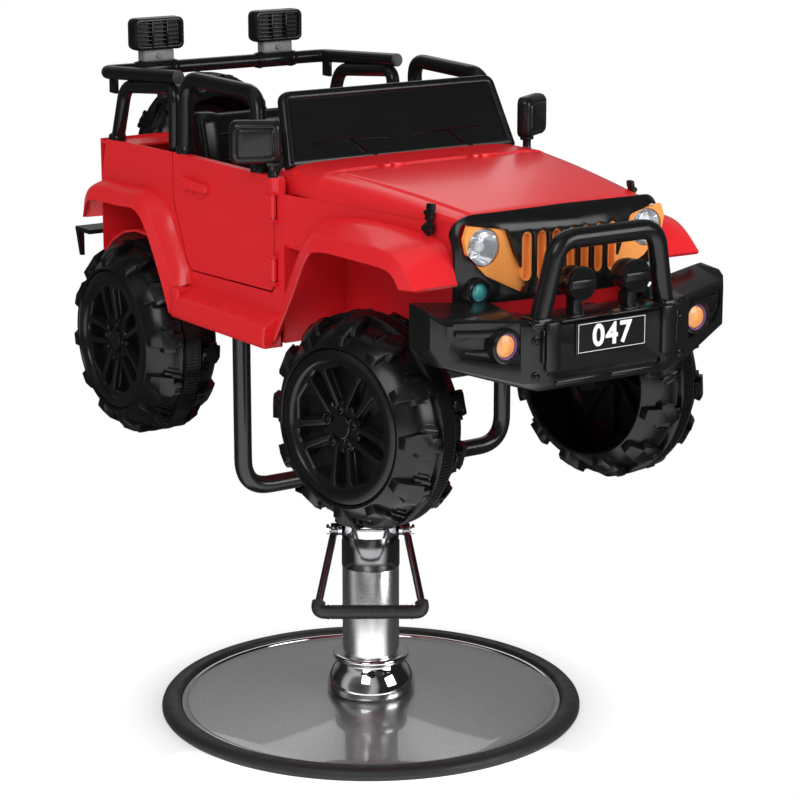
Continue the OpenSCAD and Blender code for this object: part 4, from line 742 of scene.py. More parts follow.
def rimMesh(name, lip):
    # twin box spokes between a gear-like hub and a wide ring with a many-sided opening
    k = lip / wheel["outlineLip"]
    count = wheel["spokes"]
    sides = 20 * count
    # x, radius and whether the point follows the flat runs of the opening
    section = [(0.03, 0.0938 * k, True), (0.0085, 0.0938 * k, True), (0.0058, 0.096 * k, True)]
    section += [(x, r * k, False) for x, r in (
        (0.005, 0.0992), (0.0022, 0.1008), (0.0002, 0.1028), (0.0, 0.1075), (0.0006, 0.1135), (0.0026, 0.1182),
        (0.006, 0.1198), (0.044, 0.1198), (0.044, 0.108))]
    section.append((0.034, 0.0938 * k + 0.004, False))
    rows = []
    for i in range(sides):
        a = fullTurn * i / sides
        t = (i % 10) / 10.0 - 0.5
        flat = math.cos(math.pi / (2 * count)) / math.cos(t * math.pi / count)
        reaches = [(x, r * flat if cornered else r) for x, r, cornered in section]
        rows.append([(x, reach * math.sin(a), reach * math.cos(a)) for x, reach in reaches])
    back = [(0.029, 0.0), (0.029, 0.096), (0.035, 0.098), (0.035, 0.0)]
    meshes = [gridMesh("rimShell", rows, closeRows=True, closeColumns=True),
              spun("rimDisc", [(x, max(r, 0.0002) * k) for x, r in back], 64, False)]
    spoke = []
    inner, bend, outer = 0.024 * k, 0.08 * k, 0.0965 * k
    for s in (-1, 1):
        plan = [(0.0072, inner), (0.016, inner), (0.0222, bend), (0.032, outer), (0.0098, outer), (0.0122, bend)]
        rows = []
        for sink, grow in ((0.0, 0.0), (0.022, 0.0018)):
            rows.append([(0.0092 - 0.0036 * (z - inner) / (outer - inner) + sink,
                          s * (y + (grow if y > 0.01 else -grow)), z) for y, z in plan])
        spoke.append(bevelMesh(loft("spoke", rows), 0.0014))
        # a rib steps down on the outer flank of each spoke
        low = [(0.015, inner), (0.0195, inner), (0.0262, bend), (0.0345, outer), (0.028, outer), (0.021, bend)]
        rows = [[(0.0165 + sink, s * y, z) for y, z in low] for sink in (0.0, 0.014)]
        spoke.append(bevelMesh(loft("flank", rows), 0.0008, 1))
    meshes.append(ringOf(joined("spokes", spoke), count, math.pi, blackMould))
    hub = [(0.006, 0.0002), (0.006, 0.017), (0.0072, 0.0186), (0.012, 0.0196), (0.0122, 0.025), (0.0104, 0.0262),
           (0.0104, 0.033), (0.013, 0.0352), (0.03, 0.0375)]
    meshes.append(spun("hub", [(x, r * k) for x, r in hub], 60, False))
    nut = [(0.003, 0.0001), (0.003, 0.0032), (0.0045, 0.0046), (0.012, 0.005), (0.012, 0.0001)]
    cup = [(0.0075, 0.0056), (0.0036, 0.0064), (0.003, 0.0074), (0.0036, 0.0084), (0.012, 0.009), (0.012, 0.0056)]
    parts = [moved(mesh, (0.0015, 0.0, 0.0285 * k)) for mesh in (spun("nut", nut, 6, False), spun("cup", cup, 24))]
    meshes.append(ringOf(joined("nuts", parts), count, 0.0, blackMould))
    tooth = softBlock("hubTooth", (0.0085, -0.0042, 0.033 * k), (0.02, 0.0042, 0.0395 * k), 0.001, 1)
    meshes.append(ringOf(tooth, 2 * count, 0.0, blackMould))
    mesh = joined(name, meshes)
    smoothMesh(mesh, 34.0)
    return mesh


def boreMesh(name, lip, width):
    # dull inner side of the wheel: tube for the axle, the cover's back and its ribs
    k = lip / wheel["outlineLip"]
    tube = [(0.0355, 0.0085), (0.0355, 0.0205), (width - 0.012, 0.0205), (width - 0.012, 0.0085)]
    back = [(0.0354, 0.0206), (0.0354, 0.1075 * k), (0.0375, 0.1075 * k), (0.0375, 0.0206)]
    rib = softBlock("boreRib", (0.037, -0.002, 0.02), (0.056, 0.002, 0.106 * k), 0.0006, 1)
    mesh = joined(name, [spun("boreTube", tube, 40), spun("boreBack", back, 64),
                         ringOf(rib, 2 * wheel["spokes"], 0.0, matBlack)])
    smoothMesh(mesh, 34.0)
    return mesh


def wheelPlaces():
    # the front wheels stand turned on their kingpins
    steer = Matrix.Rotation(math.radians(wheel["steer"]), 4, "Z")

    def front(s):
        kingpin = Matrix.Translation((s * wheel["kingpinX"], wheel["frontY"], wheel["hubZ"]))
        return kingpin @ steer @ Matrix.Translation((s * wheel["stub"], 0, 0))

    def rear(s):
        return Matrix.Translation((s * wheel["rearX"], wheel["rearY"], wheel["hubZ"]))

    return {
        "front_right": front(-1),
        "front_left": front(1) @ flipX,
        "rear_right": rear(-1) @ Matrix.Rotation(math.radians(wheel["rearRoll"]), 4, "X"),
        "rear_left": rear(1) @ flipX,
    }


def addWheels():
    tyre = tyreMesh("tyre", wheel["radius"], wheel["width"])
    rim = rimMesh("rim", wheel["lip"])
    bore = boreMesh("bore", wheel["lip"], wheel["width"])
    for spot, matrix in wheelPlaces().items():
        for part, mesh, nodes, material, slot in (
                ("tyre_", tyre, ["tyre_" + spot], tyreBlack, "tyre_rubber"),
                ("rim_", rim, ["rim_" + spot], blackMould, "black_plastic"),
                ("bore_", bore, [], matBlack, "black_plastic")):
            item = linkMesh(part + spot + "_visual", place(mesh.copy(), matrix))
            finishPiece(item, spot + "_wheel", nodes, material)
    turn = Matrix.Translation(wheel["sparePlace"]) @ Matrix.Rotation(math.radians(-90.0), 4, "Z")
    spareTyre = tyreMesh("spareTyre", wheel["spareRadius"], wheel["spareWidth"])
    spareRim = rimMesh("spareRim", wheel["spareRadius"] * wheel["lip"] / wheel["radius"])
    finishPiece(linkMesh("spareTyreVisual", place(spareTyre, turn)), "turn", [], tyreBlack)
    finishPiece(linkMesh("spareRimVisual", place(spareRim, turn)), "turn", ["spare_wheel"], blackMould)


addWheels()
print("wheels made")


def smoothLine(points, steps):
    # rounded run through points, given as tuples of any length
    result = []
    count = len(points)
    for i in range(count - 1):
        p0 = points[max(i - 1, 0)]
        p1, p2 = points[i], points[i + 1]
        p3 = points[min(i + 2, count - 1)]
        for k in range(steps):
            t = k / steps
            result.append(tuple(0.5 * (2 * b + (c - a) * t + (2 * a - 5 * b + 4 * c - d) * t * t
                                       + (3 * b - a - 3 * c + d) * t ** 3)
                                for a, b, c, d in zip(p0, p1, p2, p3)))
    result.append(tuple(points[-1]))
    return result


def ease(t):
    t = min(max(t, 0.0), 1.0)
    return t * t * (3.0 - 2.0 * t)


def insetOutline(points, inset):
    # moves each point of a closed outline inward along its corner's middle line; anticlockwise outlines
    result = []
    count = len(points)
    for i, (x, y) in enumerate(points):
        ax, ay = points[i - 1]
        bx, by = points[(i + 1) % count]
        ux, uy = x - ax, y - ay
        vx, vy = bx - x, by - y
        lu, lv = math.hypot(ux, uy) or 1.0, math.hypot(vx, vy) or 1.0
        nx, ny = -uy / lu - vy / lv, ux / lu + vx / lv
        ln = math.hypot(nx, ny) or 1.0
        nx, ny = nx / ln, ny / ln
        share = max(0.35, abs(nx * -uy / lu + ny * ux / lu))
        result.append((x + nx * inset / share, y + ny * inset / share))
    return result


def roundOutline(points, radius, steps=5):
    # closed outline with round corners
    result = []
    count = len(points)
    for i in range(count):
        a, b, c = (Vector(points[i - 1]), Vector(points[i]), Vector(points[(i + 1) % count]))
        r = radius[i] if isinstance(radius, (list, tuple)) else radius
        r = min(r, (a - b).length * 0.45, (c - b).length * 0.45)
        p, q = b + (a - b).normalized() * r, b + (c - b).normalized() * r
        for k in range(steps + 1):
            t = k / steps
            result.append(tuple(p * (1 - t) ** 2 + b * 2 * t * (1 - t) + q * t * t))
    return result


def stackRect(name, half, tall, radius, layers, place3):
    # layers of (inset, height) of one round-cornered rectangle
    rows = []
    for inset, h in layers:
        spots = roundRectangle(half - inset, tall - inset, max(radius - inset * 0.6, 0.003), 6)
        rows.append([place3(x, y, h) for x, y in spots])
    return loft(name, rows)


def stackMesh(name, outline, layers, place3=None):
    # layers of (inset, height) of one closed outline, capped at both ends
    place3 = place3 or (lambda x, y, z: (x, y, z))
    rows = [[place3(x, y, h) for x, y in insetOutline(outline, inset)] for inset, h in layers]
    return loft(name, rows)


def turned(name, outline, steps, centre=(0, 0, 0), axis="Z"):
    # (radius, height) outline turned about an axis
    rows = []
    for i in range(steps):
        a = fullTurn * i / steps
        row = []
        for r, h in outline:
            u, v = r * math.cos(a), r * math.sin(a)
            spot = {"Z": (u, v, h), "Y": (u, -h, v), "X": (-h, u, v)}[axis]
            row.append(tuple(c + s for c, s in zip(centre, spot)))
        rows.append(row)
    return gridMesh(name, rows, closeRows=True, closeColumns=True)


# Hood

hood = {
    "rearY": -0.198, "noseY": -0.52,
    "top": 1.001, "drop": 0.032, "low": 0.9559,
    "rearHalf": 0.236, "noseHalf": 0.18,
    "stations": (0, 0.3, 0.6, 0.85, 0.96, 1), "drops": (0, 0.2, 0.5, 0.82, 1.0, 1.25),
    "widths": (0, 0.28, 0.58, 0.85, 0.97, 1),
    "panelHeight": 0.0028, "panelShare": 0.845, "skin": 0.004,
}
hoodSection = ((1.0, 0.0), (1.0, 0.3), (0.996, 0.5), (0.982, 0.68), (0.955, 0.81), (0.915, 0.9), (0.86, 0.95),
               (0.78, 0.975), (0.6, 0.988), (0.3, 0.997), (0.0, 1.0))


def addHood():
    line = smoothLine(list(zip(hood["stations"], hood["drops"], hood["widths"])), 10)
    section = smoothLine(hoodSection, 6)
    section = section + [(-x, z) for x, z in reversed(section[:-1])]
    rows = []
    for s, d, w in line:
        y = hood["rearY"] + (hood["noseY"] - hood["rearY"]) * s
        half = hood["rearHalf"] + (hood["noseHalf"] - hood["rearHalf"]) * w
        top = hood["top"] - hood["drop"] * d
        row = []
        for share, rise in section:
            x = half * share
            z = hood["low"] + (top - hood["low"]) * rise
            inner = min(half * hood["panelShare"] - abs(x), (hood["rearY"] - 0.013) - y)
            z -= hood["panelHeight"] * (1.0 - ease(inner / 0.007 + 0.5)) * ease((rise - 0.5) / 0.4)
            row.append((x, y, z))
        rows.append(row)
    # the rounded nose edge
    last = rows[-1]
    for sink, out in ((0.0008, 0.0018), (0.003, 0.0032), (0.0055, 0.0036)):
        rows.append([(x * (1 - 0.002), y - out, max(hood["low"], z - sink)) for x, y, z in last])
    item = linkMesh("hoodShape", gridMesh("hoodShape", rows))
    skin = item.modifiers.new("skin", "SOLIDIFY")
    skin.thickness = hood["skin"]
    skin.offset = 1.0 if item.data.polygons[len(item.data.polygons) // 2].normal.z < 0 else -1.0
    bake(item)
    hinge = softBlock("hoodHinge", (0.078, -0.216, 0.994), (0.096, -0.197, 1.0045), 0.002, 3)
    rib = softBlock("hoodRib", (0.066, -0.2085, 0.993), (0.11, -0.2005, 1.0025), 0.0015)
    item.data = joined("hoodShape", [item.data, hinge, rib, mirrored(hinge), mirrored(rib)])
    smoothMesh(item.data, 42.0)
    finishPiece(item, "hood_panel", ["hood"], red)


addHood()
print("hood made")


# Fenders, from the same lip, ridge and foot lines as the CAD, with rounded runs between them

fenders = {
    "outer": 0.285, "wall": 0.004, "body": 0.252,
    "frontOrigin": (-0.536, 0.72), "frontSize": (0.408, 0.187), "frontCentre": (-0.357, 0.636),
    "rearOrigin": (0.186, 0.704), "rearSize": (0.32, 0.187), "rearCentre": (0.353, 0.636),
}
frontLip = ((0.075, 0.79), (0.115, 0.88), (0.19, 0.925), (0.41, 0.925), (0.62, 0.91), (0.71, 0.82), (0.82, 0.44),
            (0.95, 0.02))
frontRidge = ((0, 0.8), (0.1, 0.98), (0.2, 1.05), (0.41, 1.05), (0.64, 1.03), (0.755, 0.92), (0.88, 0.48), (1, -0.04))
frontFoot = ((-0.01, 0.81), (0.08, 1.08), (0.2, 1.15), (0.41, 1.19), (0.66, 1.16), (0.81, 1.03), (0.94, 0.56),
             (1.02, 0.08))
frontFootX = (0.8, 0.78, 0.8, 0.88, 0.93, 0.97, 1, 1)
rearLip = ((0.03, 0.02), (0.09, 0.23), (0.19, 0.53), (0.3, 0.79), (0.41, 0.9), (0.6, 0.89), (0.9, 0.87), (0.97, 0.8),
           (1, 0.68))
rearRidge = ((0, 0.26), (0.05, 0.38), (0.17, 0.66), (0.27, 0.9), (0.4, 1.02), (0.6, 1.01), (0.9, 1), (1.01, 0.88),
             (1.03, 0.68))
rearFoot = ((-0.04, 0.3), (0, 0.45), (0.11, 0.72), (0.21, 0.96), (0.38, 1.08), (0.6, 1.07), (0.86, 1.06),
            (0.955, 0.96), (0.96, 0.7))


def fenderMesh(name, lips, ridges, feet, footX, origin, size, centre):
    stations = []
    for lip, ridge, foot, x in zip(lips, ridges, feet, footX):
        stations.append(tuple(origin[k % 2] + s * size[k % 2] for k, s in enumerate((*lip, *ridge, *foot))) + (x,))
    outer, wall = fenders["outer"], fenders["wall"]
    rows = []
    for ly, lz, ry, rz, fy, fz, x in smoothLine(stations, 7):
        foot, ridge, lip = Vector((x, fy, fz)), Vector((outer - wall * 2, ry, rz)), Vector((outer, ly, lz))
        middle = foot.lerp(ridge, 0.5)
        away = Vector((0, middle.y - centre[0], middle.z - centre[1])).normalized()
        crown = middle + away * 0.0035
        start, end = ridge.lerp(crown, 0.13), ridge.lerp(lip, 0.2)
        row = [tuple(foot)] + [tuple(foot.lerp(crown, t)) for t in (0.35, 0.7)] + [tuple(crown.lerp(start, 0.5))]
        row += [tuple(p) for p in curveSpots(start, ridge, end, 6)]
        row.append(tuple(end.lerp(lip, 0.6)))
        inward = (Vector((0, centre[0] - ly, centre[1] - lz))).normalized()
        row.append(tuple(lip))
        row.append(tuple(lip + inward * 0.0012 + Vector((-0.0014, 0, 0))))
        row.append(tuple(lip + Vector((-wall, 0, 0)) + inward * 0.0006))
        inner, innerFoot = (p + Vector((0, centre[0] - p.y, centre[1] - p.z)).normalized() * wall
                            for p in (ridge, foot))
        row.append((outer - wall * 1.7, ly + (inner.y - ly) * 0.5, lz + (inner.z - lz) * 0.5))
        row.append((outer - wall * 3, inner.y, inner.z))
        row.append((x, innerFoot.y, innerFoot.z))
        rows.append(row)
    return loft(name, rows)


def addFenders():
    body = fenders["body"]
    front = fenderMesh("fenderFront", frontLip, frontRidge, frontFoot, [s * body for s in frontFootX],
                       fenders["frontOrigin"], fenders["frontSize"], fenders["frontCentre"])
    rear = fenderMesh("fenderRear", rearLip, rearRidge, rearFoot, [body] * len(rearLip),
                      fenders["rearOrigin"], fenders["rearSize"], fenders["rearCentre"])
    for name, mesh, node in (("fenderFrontShape", front, "fenders_front"), ("fenderRearShape", rear, "fenders_rear")):
        addPiece(name, bothSides(name, [mesh]), 46.0, "turn", [node], red)


addFenders()
print("fenders made")


# Running boards with a dotted tread

board = {
    "inner": 0.252, "outer": 0.291, "low": 0.704, "tall": 0.054, "front": -0.124, "rear": 0.184,
    "pitch": 0.0062, "columns": 5, "dot": 0.0017, "rise": 0.001, "screwX": 0.2902, "screwZ": 0.7235,
}


def addBoards():
    b = board
    wide = b["outer"] - b["inner"]
    shares = ((0, 0), (0.9, 0), (1, 0.15), (0.96, 0.62), (0.85, 0.72), (0, 1))
    corners = [(b["inner"] + wide * u, b["low"] + b["tall"] * v) for u, v in shares]
    outline = roundOutline(corners, [0.0005, 0.004, 0.004, 0.003, 0.004, 0.0005], 4)
    ends = [(0.004, 0.0), (0.0016, 0.0014), (0.0004, 0.0036), (0.0, 0.007)]
    layers = [(inset, b["front"] + y) for inset, y in ends] + [(inset, b["rear"] - y) for inset, y in reversed(ends)]
    meshes = [stackMesh("board", outline, layers, lambda x, z, y: (x, y, z))]
    near, far = Vector((b["inner"], 0, b["low"] + b["tall"])), Vector((corners[4][0], 0, corners[4][1]))
    across = (far - near).normalized()
    up = (Vector((0, 0, 1)) - across * across.z).normalized()
    # a low rail round the tread, and rows of dots on it
    start, end = b["front"] + 0.022, b["rear"] - 0.032
    rail = [tuple(near.lerp(far, share) + Vector((0, y, 0))) for share, y in (
        (0.1, start), (0.1, end), (0.93, end), (0.93, start))]
    meshes.append(roundBar("rail", roundOutline(rail, 0.006, 4), 0.0011, 8, True))
    count = int((end - start - 0.008) / b["pitch"])
    for i in range(count):
        for j in range(b["columns"]):
            share = 0.2 + 0.63 * (j + (0.5 if i % 2 else 0.0)) / b["columns"]
            spot = near.lerp(far, share) + Vector((0, start + 0.006 + i * b["pitch"], 0))
            rows = []
            for size, h in ((b["dot"], -0.0004), (b["dot"], b["rise"] * 0.5), (b["dot"] * 0.6, b["rise"])):
                rows.append([tuple(spot + up * h + size * (math.cos(a) * across + math.sin(a) * Vector((0, 1, 0))))
                             for a in (k * math.pi / 3 for k in range(6))])
            meshes.append(loft("dot", rows))
    # raised block at the rear end and two screws in the outer face
    meshes.append(softBlock("end", (0.256, b["rear"] - 0.026, 0.735), (0.2885, b["rear"] + 0.004, 0.7565), 0.004, 3))
    screw = [(0.0001, -0.001), (0.0001, 0.0006), (0.0019, 0.0006), (0.0025, 0.0), (0.0026, -0.001)]
    for y in (0.062, -0.06):
        meshes.append(flippedAt(turned("screw", screw, 14, (b["screwX"], y, b["screwZ"]), "X"), b["screwX"]))
    addPiece("boardShape", bothSides("boardShape", meshes), 40.0, "turn", ["running_boards"], red)


addBoards()
print("running boards made")


# Door handles and hinge leaves

doorTrim = {
    "face": 0.252, "handleY": 0.1475, "handleZ": 0.9328, "handleHalf": 0.042, "dish": 0.024,
    "hingeY": -0.103, "hinges": (0.8296, 0.9332), "leaf": 0.036, "leafTall": 0.015,
}


def addDoorTrim():
    d = doorTrim
    meshes = []
    y, z, x = d["handleY"], d["handleZ"], d["face"]
    # a shallow dish ring behind a bar with a wider rear end
    r = d["dish"]
    ring = turned("dish", [(r - 0.003, -0.001), (r - 0.0022, 0.001), (r - 0.0006, 0.0014), (r, -0.001)], 36,
                  (x, y - 0.004, z), "X")
    meshes.append(flippedAt(ring, x))
    front, rear = y - d["handleHalf"], y + d["handleHalf"]
    bar = [(front, z - 0.0075), (rear - 0.018, z - 0.0095), (rear - 0.014, z - 0.0125), (rear, z - 0.0125),
           (rear, z + 0.0115), (rear - 0.014, z + 0.0115), (rear - 0.018, z + 0.0085), (front, z + 0.0065)]
    layers = [(0.0, x - 0.001), (0.0, x + 0.0072), (0.0008, x + 0.0088), (0.0026, x + 0.0098)]
    meshes.append(stackMesh("handle", roundOutline(bar, 0.004, 4), layers, lambda u, v, w: (w, u, v)))
    knob = [(0.0001, -0.001), (0.0001, 0.0024), (0.0024, 0.0024), (0.0034, 0.0016), (0.0036, -0.001)]
    for spot in d["hinges"]:
        root, tip, tall = d["hingeY"] + 0.01, d["hingeY"] + 0.01 + d["leaf"], d["leafTall"]
        corners = [(root, spot - tall), (tip, spot - tall * 0.7), (tip, spot + tall * 0.7), (root, spot + tall)]
        leaf = roundOutline(corners, [0.001, 0.009, 0.009, 0.001], 5)
        layers = [(0.0, x - 0.0008), (0.0, x + 0.0008), (0.0007, x + 0.0014)]
        meshes.append(stackMesh("leaf", leaf, layers, lambda u, v, w: (w, u, v)))
        for dy in (0.02, 0.034):
            screw = turned("leafScrew", knob, 16, (x, d["hingeY"] + dy, spot), "X")
            meshes.append(flippedAt(screw, x))
    trim = joined("doorTrim", meshes)
    for sideName, mesh in (("left", trim), ("right", mirrored(trim))):
        addPiece("doorTrimShape_" + sideName, mesh, 40.0, sideName + "_door", [], red)


addDoorTrim()
print("door trim made")


# Windshield

screen = {
    "half": 0.229, "topShare": 0.925, "height": 0.128, "thick": 0.02, "lean": 23.0, "y": -0.108, "z": 1.001,
    "frame": 0.015, "recess": 0.0055, "corner": 0.018,
    "wiperX": 0.0962, "wiperZ": 0.0307, "wiperLength": 0.074,
}


def addWindshield():
    half, top, tall = screen["half"], screen["half"] * screen["topShare"], screen["height"]
    corners = [(-half, 0), (half, 0), (top, tall), (-top, tall)]
    outline = roundOutline(corners, [0.006, 0.006, screen["corner"], screen["corner"]], 7)
    deep = screen["recess"]
    layers = [(0.0165, -0.014), (0.015, -0.018), (0.013, -0.0196), (0.006, -0.02), (0.0022, -0.0188),
              (0.0005, -0.0162), (0.0, -0.013), (0.0, -0.0075), (0.0008, -0.0038), (0.0028, -0.0012), (0.0062, 0.0),
              (0.011, 0.0), (0.0132, -0.0006), (0.0146, -0.0022), (0.0156, -deep)]
    lean = Matrix.Rotation(math.radians(90.0 - screen["lean"]), 4, "X")
    turn = Matrix.Translation((0, screen["y"], screen["z"])) @ lean
    frameMesh = stackMesh("screenFrame", outline, layers)
    pane = stackMesh("screenPane", insetOutline(outline, 0.0145),
                     [(0.0, -deep - 0.001), (0.0, -deep + 0.0004), (0.0008, -deep + 0.0009)])
    for mesh in (frameMesh, pane):
        mesh.transform(turn @ Matrix.Translation((0, -screen["frame"] / 2, 0)))
    meshes = []
    for s in (-1, 1):
        x, z = s * screen["wiperX"], screen["wiperZ"]
        long = screen["wiperLength"]
        blade = [(-long, -0.001), (-long * 0.6, 0.0022), (0, 0.0036), (long * 0.6, 0.0022), (long, -0.001)]
        section = ((-1, 0.0), (-0.8, 0.003), (0, 0.0046), (0.8, 0.003), (1, 0.0))
        rows = []
        for bx, by in smoothLine(blade, 6):
            thick = 0.003 * (1.0 - 0.55 * abs(bx / long) ** 2)
            rows.append([(x + bx, z + by + thick * u, -deep + v) for u, v in section])
        meshes.append(loft("blade", rows))
        start, end = Vector((x, z + 0.002, -deep + 0.003)), Vector((x + 0.036, z - 0.03, -deep + 0.004))
        across, up = (end - start).cross(Vector((0, 0, 1))).normalized(), Vector((0, 0, 0.0028))
        rows = []
        for t in (k / 8 for k in range(9)):
            side = across * (0.0022 + 0.0022 * t)
            rows.append([tuple(start.lerp(end, t) + side * u + up * v)
                         for u, v in ((-1, -1), (-0.7, 0.5), (0, 1), (0.7, 0.5), (1, -1))])
        meshes.append(loft("arm", rows))
        knob = [(0.0001, -0.004), (0.0062, -0.004), (0.0062, 0.003), (0.0045, 0.0048), (0.0001, 0.0052)]
        meshes.append(turned("knob", knob, 20, (x + 0.037, z - 0.031, -deep + 0.001)))
    wipers = joined("wipers", meshes)
    wipers.transform(turn)
    addPiece("screenFrameShape", frameMesh, 44.0, "turn", [], blackMould)
    addPiece("screenPaneShape", pane, 44.0, "turn", [], blackGloss)
    addPiece("wiperShape", wipers, 50.0, "turn", ["windshield"], blackMould)


addWindshield()
print("windshield made")


# Round tubes: cradle, cage, hoops and bull bar

tubes = {
    "cradleX": 0.269, "cradleY": -0.02, "cradleTop": 0.731, "cradleBend": 0.052, "cradleR": 0.015, "cradleZ": 0.4435,
    "cageX": 0.226, "cageR": 0.012, "cageZ": 1.104, "postY": 0.476, "pillarY": 0.262, "rackY": 0.508, "rackZ": 1.088,
    "footZ": 0.9684, "pillarZ": 0.9334, "bend": 0.026,
    "hoopR": 0.013, "hoopBend": 0.034, "hoopRear": 0.2069, "hoopFront": -0.0373, "hoopFoot": 0.238, "hoopTop": 0.98,
    "bullX": 0.122, "bullTopX": 0.093, "bullY": -0.634, "bullTop": 0.944, "bullLow": 0.812, "bullLean": 0.01,
    "bullR": 0.0155,
}


def clamp(centre, radius, long):
    outline = [(radius * 0.9, -long / 2), (radius, -long / 2), (radius, long / 2), (radius * 0.9, long / 2)]
    return bevelMesh(turned("clamp", outline, 28, centre, "X"), 0.001)


def addTubes():
    t = tubes
    x, y = t["cradleX"], t["cradleY"]
    ends = ((-x, t["cradleTop"]), (-x, t["cradleZ"]), (x, t["cradleZ"]), (x, t["cradleTop"]))
    cradle = roundPath([(u, y, v) for u, v in ends], t["cradleBend"], 12)
    pad = softBlock("pad", (0.252, -0.066, 0.716), (0.26, 0.026, 0.731), 0.0015)
    mesh = joined("cradleShape", [roundBar("cradle", cradle, t["cradleR"], 28), pad, mirrored(pad)])
    addPiece("cradleShape", mesh, 40.0, bodyOf["cradle_tube"], ["cradle_tube"], blackPaint)

    drop, x = 1.6 * t["cageR"], t["cageX"]
    side = roundPath([(x, t["postY"], t["footZ"] - 0.002), (x, t["postY"] - 0.036, t["rackZ"] - drop),
                      (x, t["pillarY"], t["cageZ"] - drop), (x, t["pillarY"] + 0.004, t["pillarZ"])], t["bend"])
    rack = roundPath([(-x, t["pillarY"] - 0.012, t["cageZ"]), (-x - 0.008, t["rackY"], t["rackZ"]),
                      (x + 0.008, t["rackY"], t["rackZ"]), (x, t["pillarY"] - 0.012, t["cageZ"])], t["bend"])
    meshes = [roundBar("side", side, t["cageR"], 24)]
    meshes.append(softBlock("bracket", (0.222, 0.472, 1.052), (0.23, 0.496, 1.088), 0.002))
    meshes.append(softBlock("footPlate", (0.214, 0.254, 0.932), (0.248, 0.278, 0.9454), 0.002))
    collar = [(0.01, -0.006), (0.0155, -0.006), (0.0155, 0.003), (0.0135, 0.006), (0.01, 0.006)]
    meshes.append(turned("collar", collar, 28, (x, t["postY"], t["footZ"] + 0.006)))
    meshes = meshes + [mirrored(m) for m in meshes]
    meshes.append(roundBar("rack", rack, t["cageR"], 24))
    for s in (-1, 1):
        meshes.append(clamp((s * 0.126, t["rackY"], t["rackZ"]), t["cageR"] + 0.002, 0.084))
        for end in (-0.034, 0.034):
            meshes.append(clamp((s * 0.126 + end, t["rackY"], t["rackZ"]), t["cageR"] + 0.0032, 0.006))
    addPiece("cageShape", joined("cageShape", meshes), 40.0, "turn", ["roll_cage"], blackMould)

    collar = [(0.01, -0.004), (0.0165, -0.004), (0.0165, 0.004), (0.0145, 0.008), (0.01, 0.008)]
    foot, rear, front, low = t["hoopFoot"] + 0.001, t["hoopRear"], t["hoopFront"], t["hoopTop"] - 0.002
    for sideName, s in (("right", -1.0), ("left", 1.0)):
        path = roundPath([(s * foot, rear, low), (s * (x + 0.008), rear, t["cageZ"] + 0.004),
                          (s * x, front + 0.026, t["cageZ"]), (s * foot, front, low)], t["hoopBend"], 10)
        meshes = [roundBar("hoop", path, t["hoopR"], 24)]
        for y in (rear, front):
            spot = (s * (t["hoopFoot"] + 0.0005), y, t["hoopTop"] + 0.004)
            meshes.append(turned("hoopCollar", collar, 28, spot))
        addPiece("hoopShape_" + sideName, joined("hoopShape", meshes), 40.0, sideName + "_door", ["hoop_" + sideName],
                 blackMould)

    y, lean = t["bullY"], t["bullY"] - t["bullLean"]
    bull = roundPath([(-t["bullX"], y, t["bullLow"]), (-t["bullTopX"], lean, t["bullTop"]),
                      (t["bullTopX"], lean, t["bullTop"]), (t["bullX"], y, t["bullLow"])], 0.03, 12)
    meshes = [roundBar("bull", bull, t["bullR"], 28)]
    layers = [(0.0, -0.012), (0.0, 0.003), (0.001, 0.0055), (0.003, 0.0065)]
    foot = stackMesh("bullFoot", roundRectangle(0.0185, 0.021, 0.008, 4), layers)
    meshes += [moved(foot, (s * t["bullX"], y + 0.001, 0.8235)) for s in (-1, 1)]
    addPiece("bullBarShape", joined("bullBarShape", meshes), 40.0, "turn", ["bull_bar"], blackMould)


addTubes()
print("tubes made")


# Lamps on the roof and behind the bull bar

lamps = {
    "roofX": 0.126, "roofY": 0.508, "roofLow": 1.124, "roofHalf": 0.051, "roofTall": 0.029, "ribs": 6,
    "driveX": 0.052, "driveY": -0.652, "driveZ": 0.875, "driveR": 0.026,
}


def addRoofLamps():
    p = lamps
    middle = p["roofLow"] + p["roofTall"] - 0.002
    layers = [(0.009, 0.017), (0.004, 0.016), (0.001, 0.012), (0.0, 0.006), (0.0, -0.012), (0.0012, -0.0155),
              (0.004, -0.017), (0.0065, -0.0165), (0.0075, -0.011)]
    shell = stackRect("lampShell", p["roofHalf"], p["roofTall"], 0.011, layers, lambda x, y, z: (x, z, y))
    ribs = []
    count = p["ribs"]
    for i in range(count):
        z = (i - (count - 1) / 2) * 0.0075
        ribs.append(softBlock("rib", (-0.0445, -0.0165, z - 0.0013), (0.0445, -0.0105, z + 0.0013), 0.0006))
    for x in (-0.015, 0.015):
        ribs.append(softBlock("bar", (x - 0.0018, -0.018, -0.0235), (x + 0.0018, -0.0105, 0.0235), 0.0008))
    housing = joined("lampHousing", [shell] + ribs)
    layers = [(0.003, -0.0195), (0.0, -0.0165), (0.0, 0.0), (0.003, 0.0045), (0.006, 0.0055)]
    bolt = [(0.0001, 0.0), (0.0055, 0.0), (0.0055, 0.003), (0.004, 0.0042), (0.0001, 0.0042)]
    foot = joined("lampFoot", [stackMesh("lampFoot", roundRectangle(0.032, 0.0115, 0.004, 4), layers),
                               turned("footBolt", bolt, 6, (0.0, -0.0115, -0.009), "Y")])
    for name, mesh, z, nodes, material in (
            ("roofLampShape", housing, middle, [], blackMould),
            ("roofLampFoot", foot, p["roofLow"] - 0.004, ["roof_lamps"], greyPlastic)):
        copies = [moved(mesh, (s * p["roofX"], p["roofY"], z)) for s in (-1, 1)]
        addPiece(name, joined(name, copies), 40.0, "turn", nodes, material)


